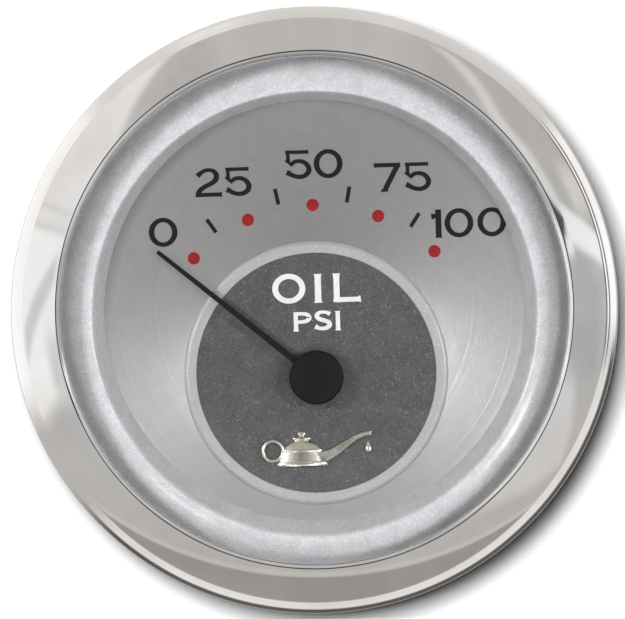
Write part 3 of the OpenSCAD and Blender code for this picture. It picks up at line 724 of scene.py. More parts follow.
CLAMP_APART = at(CLAMP_STUDS[1][0] - CLAMP_STUDS[0][0], 0, 0)
CLAMP_END, (NUT_TOP, WEB_Z) = extent("clamp_studs")[0][2], barrel("clamp_washers")[1:]
LAMP = middle("lamp_shell")


# Front of the gauge

class GAUGE_OT_bezel(bpy.types.Operator):
    """Spin the polished bezel: rolled lip, crown, step line, shoulder and rear hem"""
    bl_idname = "gauge.bezel"
    bl_label = "Bezel"

    def execute(self, context):
        face, wall, lip, roll, hem = 6.2, 0.45, 0.6, 0.9, 34.0
        crown, tilt, step, shoulder_w, shoulder_tilt = 7.1, 8, 0.16, 1.3, 44
        lip_end = LENS_HIGH + 0.04
        lip_x, lip_z = BEZEL_R - face + lip, FACE_Z - lip
        crown_x = lip_x + (lip - crown) * math.sin(math.radians(tilt))
        crown_z = lip_z + (lip - crown) * math.cos(math.radians(tilt))
        stop = math.degrees(math.acos((BEZEL_R - shoulder_w - 0.1 - crown_x) / crown))
        shoulder = shoulder_w / (1 - math.sin(math.radians(shoulder_tilt)))
        turn, shoulder_x = 90 - shoulder_tilt, BEZEL_R - shoulder
        shoulder_z = (crown_z + crown * math.sin(math.radians(stop)) - step
                      - shoulder * math.sin(math.radians(turn)))
        section = (
            [(lip_x - lip + wall, lip_end), (lip_x - lip, lip_end)]
            + arc(lip_x, lip_z, lip, 180, 90 - tilt, 24)
            + arc(crown_x, crown_z, crown, 90 - tilt, stop, 40)[1:]
            + arc(shoulder_x, shoulder_z, shoulder, turn, 0, 24)
            + arc(BEZEL_R - roll, roll, roll, 0, -90, 10)
            + [(hem, 0), (hem, wall)]
            + arc(BEZEL_R - roll, roll, roll - wall, -90, 0, 4)
            + arc(shoulder_x, shoulder_z, shoulder - wall, 0, turn, 10)
            + arc(crown_x, crown_z, crown - wall, stop, 90 - tilt, 20)
            + arc(lip_x, lip_z, lip - wall, 90 - tilt, 180, 6)
        )
        piece = ring_lathe("polished_bezel", eased(section, 0.11), steps=256, angle=28)
        dress(piece, polished_stainless(), "polished_stainless", "bezel")
        return {"FINISHED"}


class GAUGE_OT_window(bpy.types.Operator):
    """Grind the flat glass and lay it on its rubber gasket"""
    bl_idname = "gauge.window"
    bl_label = "Glass and gasket"

    def execute(self, context):
        edge = 0.2
        section = ([(0, LENS_LOW), (LENS_R - edge, LENS_LOW)]
                   + arc(LENS_R - edge, LENS_LOW + edge, edge, -90, 0, 4)[1:]
                   + arc(LENS_R - edge, LENS_HIGH - edge, edge, 0, 90, 4)
                   + [(0, LENS_HIGH)])
        glass = lathe("window_glass", section, steps=160)
        clear = thin_glass("flat_glass", (0.996, 0.999, 0.996, 1), 0.02)
        dress(glass, clear, "flat_glass", "lens")
        gasket = washer_section(LENS_R - GASKET_W, LENS_R, GASKET_Z, LENS_LOW)
        seat = ring_lathe("window_gasket", gasket, steps=128)
        rubber = moulding("black_rubber_gasket", (0.018, 0.018, 0.019), 0.6)
        dress(seat, rubber, "black_rubber", "lens_gasket")
        return {"FINISHED"}


class GAUGE_OT_trim_ring(bpy.types.Operator):
    """Mould the silver ring with its bevel, round crest, long slope and gasket seat"""
    bl_idname = "gauge.trim_ring"
    bl_label = "Trim ring"

    def execute(self, context):
        wall, crest, slope, tilt = 1.1, 0.5, 11.0, 4
        crest_x, crest_z = WINDOW_R + 1.75, RING_TOP - crest
        slope_x = crest_x + (crest - slope) * math.sin(math.radians(tilt))
        slope_z = crest_z + (crest - slope) * math.cos(math.radians(tilt))
        outer, rim = LENS_R - GASKET_W - 0.3, LENS_R + 0.4
        stop = math.degrees(math.acos((outer - slope_x) / slope))
        section = eased(
            [(WINDOW_R, DIAL_Z), (WINDOW_R, DIAL_Z + 0.1)]
            + arc(crest_x, crest_z, crest, 148, 90 - tilt, 12)
            + arc(slope_x, slope_z, slope, 90 - tilt, stop, 28)[1:]
            + [(outer + 0.1, GASKET_Z), (rim, GASKET_Z), (rim, DIAL_Z + wall),
               (RING_R, DIAL_Z + wall), (RING_R, DIAL_Z), (rim - wall, DIAL_Z),
               (rim - wall, GASKET_Z - wall), (outer + wall, GASKET_Z - wall),
               (outer + 0.8, DIAL_Z), (outer - 0.6, DIAL_Z),
               (crest_x + 0.7, GASKET_Z - wall - 0.15), (WINDOW_R + wall, DIAL_Z)],
            0.15)
        piece = ring_lathe("trim_ring_moulding", section, steps=224)
        self.lower(piece, crest_x, outer)
        # The two rows darken the inner bevel and the outer slope under the bezel's lip: painted
        # shade.
        paint = metallic_paint("silver_paint", colours().ring_dark, colours().ring_light,
                               size=0.13, flake=0.3, metal=0.22, rough=0.5, sparkle=0.5, coat=0.4,
                               painted_shade=((26.7, 26.35, 0.26), (28.9, 30.3, 0.34)))
        dress(piece, paint, "silver_paint", "trim_ring")
        return {"FINISHED"}

    @staticmethod
    def lower(piece, ridge, outer):
        """Sets the ridge a little below the middle of the bezel, as the moulding sits."""
        group = piece.vertex_groups.new(name="ridge")
        foot, drop = WINDOW_R + 0.02, 0.63
        for vertex in piece.data.vertices:
            radius = math.hypot(vertex.co.x, vertex.co.z) / MM
            share = min((radius - foot) / (ridge - foot), (outer - radius) / (outer - ridge))
            if share > 0 and vertex.co.y < at(0, 0, DIAL_Z + 0.05).y:
                group.add([vertex.index], share, "REPLACE")
        modify(piece, "DISPLACE", direction="Z", strength=-drop * MM, mid_level=0.0,
               vertex_group="ridge")


class GAUGE_OT_dial(bpy.types.Operator):
    """Stamp the brushed dial plate, the pale rim and the dark centre disc"""
    bl_idname = "gauge.dial"
    bl_label = "Dial plate and disc"

    def execute(self, context):
        hole, below, above = 2.0, DIAL_BACK - 1.6, DIAL_Z + 1.6
        section = eased(oblong(0, DIAL_BACK, DIAL_R, DIAL_Z), 0.1, False)
        face = lathe("dial_face", section, steps=160)
        cut(face, bar("hole", hole, below, above, PIVOT))
        dress(smooth(face), brushed_dial(colours().dial), "brushed_dial", "dial_plate")
        edge = (DISC_Z - DIAL_Z) * 0.6
        rim = eased([(DISC_R, DIAL_Z), (DISC_RIM_R, DIAL_Z), (DISC_RIM_R - 0.12, DISC_Z - edge),
                     (DISC_RIM_R - 0.45, DISC_Z), (DISC_R, DISC_Z)], 0.2)
        rim = ring_lathe("disc_pale_rim", rim, axis=DISC_CENTRE, steps=160)
        pale = metallic_paint("pale_silver", darker(colours().rim, 0.86), colours().rim,
                              size=0.12, flake=0.4, metal=0.35, rough=0.42, sparkle=0.2)
        dress(rim, pale, "pale_silver", "disc_rim")
        disc = bar("centre_disc_dark", DISC_R, DIAL_Z, DISC_Z, DISC_CENTRE, 160)
        cut(disc, bar("hole", hole, below, above, PIVOT))
        dark = metallic_paint("charcoal_paint", colours().disc_dark, colours().disc_light,
                              size=0.12, flake=0.4, metal=0.3, rough=0.5, sparkle=0.08)
        dress(smooth(disc), dark, "charcoal_paint", "centre_disc")
        return {"FINISHED"}


# Lettering. Strokes are (x, y, width) in millimetres from the lower left of each character.

def curve_through(points, steps=5):
    """Catmull-Rom curve through the points, which may carry more than two numbers."""
    ends = [points[0]] + list(points) + [points[-1]]
    curve = []
    for a, b, c, d in zip(ends, ends[1:], ends[2:], ends[3:]):
        for i in range(steps):
            t = i / steps
            curve.append(tuple(
                0.5 * (2 * q + (r - p) * t + (2 * p - 5 * q + 4 * r - s) * t * t
                       + (3 * q - p - 3 * r + s) * t ** 3)
                for p, q, r, s in zip(a, b, c, d)))
    curve.append(tuple(points[-1]))
    return curve


def stroke_sides(points):
    """The two sides of a stroke, square to its course."""
    left, right = [], []
    for i, (x, y, width) in enumerate(points):
        before, after = points[max(i - 1, 0)], points[min(i + 1, len(points) - 1)]
        course = Vector((after[0] - before[0], after[1] - before[1])).normalized()
        left.append((x - course.y * width / 2, y + course.x * width / 2))
        right.append((x + course.y * width / 2, y - course.x * width / 2))
    return left, right


def oval(width, height, side, cap):
    """The two closed lines of a round letter."""
    def line(half_w, half_h):
        return [(width / 2 + half_w * math.cos(t), height / 2 + half_h * math.sin(t))
                for t in (2 * math.pi * i / 48 for i in range(48))]
    return line(width / 2, height / 2), line(width / 2 - side, height / 2 - cap)


GLYPHS = {
    "0": (3.46, [("oval", 3.46, 3.5, 0.66, 0.53)]),
    "1": (1.25, [("line", [(0.88, 3.42, 0.7), (0.88, 0.3, 0.7), (0.88, 0.0, 0.78)]),
                 ("fill", [(0.0, 2.93), (0.6, 2.9), (0.6, 2.42), (0.08, 2.22)])]),
    "2": (3.17, [("curve", [(0.26, 2.53, 0.66), (0.75, 2.93, 0.51), (1.23, 3.17, 0.47),
                            (1.71, 3.22, 0.45), (2.14, 3.12, 0.51), (2.44, 2.86, 0.59),
                            (2.56, 2.49, 0.66), (2.49, 2.11, 0.65), (2.22, 1.79, 0.6),
                            (1.77, 1.53, 0.56), (1.28, 1.3, 0.55), (0.86, 1.06, 0.56),
                            (0.51, 0.75, 0.6), (0.32, 0.37, 0.62), (0.3, 0.1, 0.6)]),
                 ("line", [(0.0, 0.25, 0.49), (2.9, 0.25, 0.49), (3.17, 0.27, 0.68)])]),
    "5": (3.24, [("line", [(0.13, 3.24, 0.43), (2.7, 3.24, 0.43), (2.92, 3.24, 0.54)]),
                 ("line", [(0.43, 3.42, 0.43), (0.43, 2.45, 0.43)]),
                 ("fill", [(0.215, 2.55), (0.645, 2.55), (0.7, 2.05), (1.02, 1.87), (0.83, 1.47),
                           (0.0, 2.21), (0.19, 2.33)]),
                 ("curve", [(0.83, 1.78, 0.5), (1.18, 2.06, 0.48), (1.61, 2.15, 0.47),
                            (2.09, 2.1, 0.51), (2.52, 1.87, 0.56), (2.81, 1.53, 0.61),
                            (2.92, 1.15, 0.63), (2.81, 0.75, 0.6), (2.49, 0.44, 0.56),
                            (2.09, 0.28, 0.53), (1.66, 0.26, 0.52), (1.23, 0.34, 0.52),
                            (0.8, 0.52, 0.53), (0.51, 0.7, 0.6), (0.22, 0.83, 0.7)])]),
    "7": (3.18, [("line", [(0.0, 3.23, 0.6), (0.25, 3.23, 0.5), (3.18, 3.23, 0.5)]),
                 ("line", [(2.88, 3.25, 0.62), (1.3, 0.36, 0.62)]),
                 ("fill", [(1.66, 0.42), (0.96, 0.42), (0.7, 0.0), (1.62, 0.06)])]),
    "O": (3.98, [("oval", 3.98, 3.6, 0.71, 0.63)]),
    "I": (1.0, [("line", [(0.5, 3.47, 1.0), (0.5, 3.3, 0.82), (0.5, 2.9, 0.76), (0.5, 0.55, 0.76),
                          (0.5, 0.18, 0.84), (0.5, 0.0, 1.02)])]),
    "L": (3.36, [("line", [(0.48, 3.47, 1.0), (0.48, 3.3, 0.8), (0.48, 2.9, 0.72),
                           (0.48, 0.5, 0.72), (0.44, 0.02, 0.86)]),
                 ("line", [(0.3, 0.3, 0.59), (3.0, 0.31, 0.57), (3.36, 0.36, 0.84)])]),
    "P": (2.3, [("line", [(0.36, 2.33, 0.66), (0.38, 2.15, 0.52), (0.38, 0.3, 0.52),
                          (0.37, 0.0, 0.68)]),
                ("curve", [(0.4, 2.11, 0.43), (1.16, 2.12, 0.42), (1.73, 2.02, 0.46),
                           (2.02, 1.64, 0.54), (1.73, 1.27, 0.48), (1.16, 1.15, 0.42),
                           (0.45, 1.15, 0.42)])]),
    "S": (2.24, [("curve", [(1.98, 1.99, 0.52), (1.57, 2.2, 0.42), (1.08, 2.26, 0.4),
                            (0.64, 2.17, 0.45), (0.38, 1.87, 0.52), (0.54, 1.54, 0.53),
                            (0.92, 1.35, 0.5), (1.41, 1.2, 0.51), (1.79, 1.0, 0.55),
                            (1.88, 0.68, 0.58), (1.57, 0.39, 0.5), (1.08, 0.28, 0.45),
                            (0.58, 0.35, 0.45), (0.15, 0.56, 0.62)])]),
    "i": (0.64, [("line", [(0.32, 2.35, 0.66), (0.32, 2.15, 0.52), (0.32, 0.3, 0.52),
                           (0.32, 0.0, 0.68)])]),
}


def character(letter, left, base, low, high, size=1.0):
    """One character as a thin solid, with its lower left at (left, base)."""
    def put(points):
        return [(left + x * size, base + y * size) for x, y in points]

    solids = []
    for kind, *shape in GLYPHS[letter][1]:
        if kind == "oval":
            outer, inner = oval(*shape)
            solids.append(ribbon(letter, put(outer), put(inner), low, high, closed=True))
        elif kind == "fill":
            solids.append(plate(letter, put(shape[0]), low, high))
        else:
            points = curve_through(shape[0]) if kind == "curve" else shape[0]
            sides = stroke_sides(points)
            solids.append(ribbon(letter, put(sides[0]), put(sides[1]), low, high))
    return unite(solids)


def word(name, letters, centre, low, gaps, height, size=1.0):
    """A word centred on a point, as one object of separate characters."""
    widths = [GLYPHS[letter][0] * size for letter in letters]
    left = centre[0] - (sum(widths) + sum(gaps)) / 2
    base = centre[1] - height * size / 2
    made = []
    for letter, width, gap in zip(letters, widths, list(gaps) + [0]):
        made.append(character(letter, left, base, low, low + sizes().ink / MM, size))
        left += width + gap
    return join(name, made)


class GAUGE_OT_scale(bpy.types.Operator):
    """Print the numerals, ticks and red dots on the dial"""
    bl_idname = "gauge.scale"
    bl_label = "Scale print"

    def execute(self, context):
        black = printed_ink("numeral_ink", colours().numerals)
        red = printed_ink("dot_ink", colours().dots, 0.42)
        low, sunk = DIAL_Z, DIAL_Z - 0.01
        numerals = [
            word("numeral_0", "0", (-17.94, 9.89), low, [], 3.5),
            word("numeral_25", "25", (-10.51, 15.73), low, [0.36], 3.47),
            word("numeral_50", "50", (0.4, 17.56), low, [0.28], 3.47),
            word("numeral_75", "75", (11.08, 15.69), low, [0.42], 3.47),
            word("numeral_100", "100", (18.86, 9.99), low, [0.37, 0.5], 3.5),
        ]
        cx, cy = PRINT_CENTRE
        middle, half = sizes().tick_radius / MM, sizes().tick / MM / 2
        wide, top = sizes().tick_width / MM / 2, low + sizes().ink / MM
        tick = oblong(cx - wide, cy + middle - half, cx + wide, cy + middle + half)
        marks = [plate("tick", turned(tick, turn, PRINT_CENTRE), low, top)
                 for turn in (33.75, 11.25, -11.25, -33.75)]
        for piece in [*numerals, join("scale_ticks", marks)]:
            dress(piece, black, "brushed_dial")
        dot, circle = sizes().dot / MM / 2, sizes().dot_radius / MM
        crown = [(0, sunk), (dot, sunk), (dot, low), (dot - 0.03, top - 0.006),
                 (dot - 0.08, top + 0.004), (0, top + 0.008)]
        places = [turned([(cx, cy + circle)], turn, PRINT_CENTRE)[0]
                  for turn in (45, 22.5, 0, -22.5, -45)]
        dots = [lathe("dot", crown, axis=place, steps=40) for place in places]
        dress(join("scale_dots", dots), red, "brushed_dial")
        return {"FINISHED"}


class GAUGE_OT_words(bpy.types.Operator):
    """Print the two generic words of the centre disc"""
    bl_idname = "gauge.words"
    bl_label = "Words on the disc"

    def execute(self, context):
        white = printed_ink("word_ink", colours().words, 0.45)
        large = word("word_oil", "OIL", (0.3, 2.63), DISC_Z, [1.02, 1.26], 3.55)
        small = word("word_psi", "PSi", (0.22, -1.36), DISC_Z, [0.24, 0.34], 2.35)
        for piece in (large, small):
            dress(piece, white, "charcoal_paint")
        return {"FINISHED"}


class GAUGE_OT_emblem(bpy.types.Operator):
    """Cast the small nickel oil can of the disc, in relief"""
    bl_idname = "gauge.emblem"
    bl_label = "Emblem"

    def execute(self, context):
        x, y = -1.6, PIVOT[1] - 8.3
        low = DISC_Z - 0.01
        bell = eased([(3.1, -2.3), (3.2, -2.1), (3.1, -1.9), (2.9, -1.82), (2.78, -1.3),
                      (2.5, -0.6), (2.6, -0.52), (2.55, -0.36), (2.38, -0.34), (2.0, 0.12),
                      (1.4, 0.5), (0.9, 0.68), (0.86, 0.82), (1.15, 0.86), (1.15, 1.04),
                      (0.86, 1.1), (0.34, 1.2), (0.3, 1.3), (0.46, 1.42), (0.46, 1.6),
                      (0.3, 1.74)], 0.12, False)
        can = self.relief("can", [(0, -2.3)] + bell + [(0, 1.75)], (x - 0.4, y), 0.88)
        course = [(1.4, -1.45, 1.5), (3.1, -0.95, 1.1), (4.7, 0.05, 0.78), (6.1, 0.92, 0.58),
                  (7.2, 1.33, 0.48), (8.0, 1.42, 0.5)]
        sides = [[(x + px, y + py) for px, py in side]
                 for side in stroke_sides(curve_through(course))]
        spout = soften(ribbon("spout", *sides, low - 0.1, DISC_Z + 0.52), 0.2, 4, 40)
        loop, tube = 1.2, 0.25
        handle = ring_lathe("handle", arc(loop, DISC_Z + 0.16, tube, 0, 345, 15),
                            axis=(x - 3.9, y - 0.45), steps=64, angle=60)
        pear = [(0, -1.0), (0.28, -0.94), (0.45, -0.76), (0.5, -0.52), (0.43, -0.22),
                (0.26, 0.12), (0.12, 0.42), (0, 0.66)]
        drop = self.relief("drop", pear, (x + 7.6, y), 0.45)
        emblem = join("oil_can_emblem", [unite([can, spout, handle]), drop])
        above = plate("above_disc", oblong(x - 9, y - 5, x + 9, y + 5), low, low + 3)
        combine(emblem, above, "INTERSECT")
        dress(smooth(emblem, 40), cast_nickel(), "nickel_emblem", "emblem")
        return {"FINISHED"}

    @staticmethod
    def relief(name, profile, centre, depth):
        """A turned shape, its axis lying up the disc, flattened to a low relief."""
        x, y = centre
        widest = max(r for r, _ in profile)
        trace([at(x + r, y + h, DISC_Z) for r, h in profile])
        spin(72, at(x, y, DISC_Z), (0, 0, 1))
        pick_all()
        bpy.ops.transform.resize(value=(1, depth / widest, 1), center_override=at(x, y, DISC_Z))
        return close_up(name, 40)


class GAUGE_OT_pointer(bpy.types.Operator):
    """Blank the black pointer and mould its domed hub cap"""
    bl_idname = "gauge.pointer"
    bl_label = "Pointer and hub"

    def execute(self, context):
        root, tip, boss, bore, below = 0.42, 0.25, 2.5, 0.52, HUB_LOW - 0.5
        side = math.degrees(math.acos(root / boss))
        blade = self.resting(arc(0, 0, boss, 180 - side, 360 + side, 40)
                             + arc(0, POINTER_LEN - tip, tip, 0, 180, 8))
        blade = soften(plate("pointer_blade", blade, POINTER_Z, POINTER_HIGH), 0.06, 2, 40)
        cut(blade, bar("bore", bore, below, HUB_HIGH, PIVOT, 32))
        black = moulding("pointer_black", colours().pointer, 0.5, 0.1, 0.01, gloss=0.15)
        dress(smooth(blade), black, "pointer_black", "pointer", body="indicator")
        inside, skirt, edge = POINTER_HIGH + 0.02, HUB_R - 0.7, 0.4
        section = ([(0, inside + 0.35), (bore, inside + 0.35), (bore, inside), (skirt, inside),
                    (skirt, HUB_LOW), (HUB_R - 0.06, HUB_LOW), (HUB_R, HUB_LOW + 0.06)]
                   + arc(HUB_R - edge, HUB_HIGH - edge - 0.13, edge, 0, 84, 8)
                   + [(HUB_R * 0.66, HUB_HIGH - 0.07), (HUB_R * 0.33, HUB_HIGH - 0.015),
                      (0, HUB_HIGH)])
        cap = lathe("hub_dome", section, PIVOT, 96)
        slot = self.resting(oblong(-0.475, 1.0, 0.475, HUB_R + 1.25))
        cut(cap, plate("slot", slot, below, inside - 0.008))
        black = moulding("hub_black", colours().hub, 0.55, 0.2, 0.05, gloss=0.12)
        dress(smooth(cap), black, "hub_black", "hub_cap", body="indicator")
        return {"FINISHED"}

    @staticmethod
    def resting(points):
        """An outline drawn about the pivot for an upright pointer, turned to its rest."""
        x, y = PIVOT
        return turned([(x + px, y + py) for px, py in points], POINTER_REST, PIVOT)


# Rear of the gauge

class GAUGE_OT_case(bpy.types.Operator):
    """Draw the plated steel case with its flange and rear holes"""
    bl_idname = "gauge.case"
    bl_label = "Case"

    def execute(self, context):
        corner, edge, flange = 2.5, 0.1, FLANGE_Z - CASE_WALL
        inner = corner - CASE_WALL

        def bead(z):
            """The stiffening bead pressed into the back, at one side of its wall."""
            return [(27.0, z), (27.3, z + 0.28), (28.6, z + 0.28), (28.9, z)]

        section = (
            [(0, BACK)] + bead(BACK)
            + arc(CASE_R - corner, BACK + corner, corner, -90, 0, 10)
            + [(CASE_R, flange - 0.4), (CASE_R + 0.3, flange), (FLANGE_R - edge, flange),
               (FLANGE_R, flange + edge), (FLANGE_R, FLANGE_Z - edge),
               (FLANGE_R - edge, FLANGE_Z), (CASE_IN_R + 0.2, FLANGE_Z),
               (CASE_IN_R, FLANGE_Z - 0.3)]
            + arc(CASE_IN_R - inner, BACK_IN + inner, inner, 0, -90, 8)
            + bead(BACK_IN)[::-1] + [(0, BACK_IN)]
        )
        shell = lathe("case_can", section, steps=192)
        holes = ([(place, STUD_R + 0.52, 48) for place in TERMINALS]
                 + [(place, STUD_BORE, 48) for place in CLAMP_STUDS] + [(LAMP, 6.4, 64)])
        for place, radius, steps in holes:
            cut(shell, bar("hole", radius, BACK - 1, BACK_IN + 1, place, steps))
        zinc = plain_metal("zinc_plated_case", (0.55, 0.56, 0.57), 0.34, 0.35, 220, 0.03)
        dress(smooth(shell), zinc, "zinc_plated_case", "case_shell")
        return {"FINISHED"}


def threaded_rod(name, place, start, end, groove=None):
    """A rod with a real screw thread between two heights, chamfered at its lower end.

    Crest, root, core and envelope have slightly different radii, so that no faces coincide.
    """
    x, y = place
    root, pitch, chamfer, clear = STUD_R - THREAD_DEPTH, THREAD_PITCH, 0.5, STUD_R + 0.2
    crest, base = STUD_R - 0.02, root - 0.08
    tooth = [(base, 0.02), (crest, 0.42), (crest, 0.56), (base, 0.96)]
    low = end - 0.8 * pitch
    turns = math.ceil((start - low) / pitch) + 1
    trace([at(r, 0, low + h * pitch) for r, h in tooth], closed=True)
    weld()
    bpy.ops.object.mode_set(mode="OBJECT")
    modify(bpy.context.object, "SCREW", axis="Y", angle=2 * math.pi, iterations=turns,
           screw_offset=-pitch * MM, steps=28, render_steps=28)
    bpy.ops.object.mode_set(mode="EDIT")
    weld()
    bpy.ops.mesh.fill_holes(sides=0)
    pick_all()
    bpy.ops.transform.translate(value=at(x, y, 0))
    ridge = close_up(name, 30)
    rod = unite([ridge, bar("core", root, end - 2 * pitch, start + 2 * pitch, place, 37)])
    section = [(0, start), (clear, start)]
    if groove:
        high, floor = groove
        section += [(clear, high), (root - 0.03, high), (root - 0.03, floor), (clear, floor)]
    section += [(clear, end + chamfer + 0.2), (STUD_R - chamfer, end), (0, end)]
    return combine(rod, lathe("envelope", section, place, 56), "INTERSECT")


def headed_stud(name, place, blank, *thread):
    """A threaded rod united with the turned blank that it is rolled on."""
    rod = threaded_rod(name, place, *thread)
    return smooth(unite([rod, lathe("shank", eased(blank, 0.2, False), place, 48)]), 30)


def hex_nut(name, place, high):
    """A hexagon nut whose corners are turned off at both ends, with a countersunk bore."""
    low, flat, sink = high - 3.1, 3.8, 0.35
    corner = flat / math.cos(math.radians(30))
    outline = [(place[0] + x, place[1] + y) for x, y in arc(0, 0, corner, 0, 300, 5)]
    nut = plate(name, outline, low, high)
    fall, wide, mouth = (corner - flat) * 0.62, corner + 0.02, STUD_R + sink
    dome = [(0, low), (flat - 0.05, low), (wide, low + fall), (wide, high - fall),
            (flat - 0.05, high), (0, high)]
    combine(nut, lathe("dome", dome, place, 72), "INTERSECT")
    bore = [(0, low - 1), (mouth + 1, low - 1), (mouth, low), (STUD_BORE, low + sink),
            (STUD_BORE, high - sink), (mouth, high), (mouth + 1, high + 1), (0, high + 1)]
    cut(nut, lathe("bore", bore, place, 48))
    return soften(nut, 0.05, 1, 25)


class GAUGE_OT_terminals(bpy.types.Operator):
    """Fit the three screwed terminals with their insulators, washers and nuts"""
    bl_idname = "gauge.terminals"
    bl_label = "Terminals"

    def execute(self, context):
        brass = plain_metal("brass_stud", (0.62, 0.44, 0.16), 0.26, 0.35, 500)
        zinc = plain_metal("zinc_steel", (0.6, 0.61, 0.62), 0.27, 0.3, 420)
        brown = fibre("brown_fibre", (0.2, 0.085, 0.035))
        place, shifts = TERMINALS[0], [at(x - TERMINALS[0][0], 0, 0) for x, _ in TERMINALS[1:]]
        head_r, head, head_low, shank = 3.7, -22.4, -23.6, -36.8
        pillar, sleeve_r, pad_r = -25.2, 2.58, 4.5
        seats, washer_t = (-38.3, -42.2), 0.8       # rear faces of the two washers
        blank = [(0, head), (head_r, head), (head_r, head_low), (STUD_R, head_low),
                 (STUD_R, shank), (0, shank)]
        stud = headed_stud("sender_terminal", place, blank, shank + 0.2, STUD_END, (-45.3, -46.1))
        studs = [stud] + [copy_to(stud, name, shift) for name, shift in
                          zip(("supply_terminal", "ground_terminal"), shifts)]
        for piece, node in zip(studs, STUD_NODES):
            dress(piece, brass, "brass_stud", node)

        def row(piece):
            """The piece and its copies along the row of terminals, as one object."""
            copies = [copy_to(piece, piece.name + "_copy", shift) for shift in shifts]
            return join(piece.name, [piece, *copies])

        sections = (oblong(STUD_BORE, pillar + 0.01, sleeve_r, head_low),
                    washer_section(STUD_BORE, pad_r, BACK_IN, pillar),
                    oblong(STUD_BORE, BACK - 0.01, sleeve_r, BACK + 0.4),
                    washer_section(STUD_BORE, pad_r, BACK - 1.5, BACK, 0.25))
        rings = [ring_lathe("sleeve", section, axis=place, steps=72) for section in sections]
        dress(row(join("insulators", rings)), brown, "brown_fibre", "terminal_insulators")
        sections = [washer_section(STUD_BORE, STUD_R + 2, seat, seat + washer_t)
                    for seat in seats]
        washers = [ring_lathe("washer", section, axis=place, steps=64) for section in sections]
        dress(row(join("plain_washers", washers)), zinc, "zinc_steel", "terminal_washers")
        for name, seat, node in zip(("inner_nuts", "outer_nuts"), seats,
                                    ("terminal_nuts", "terminal_outer_nuts")):
            dress(row(hex_nut(name, place, seat)), zinc, "zinc_steel", node)
        return {"FINISHED"}


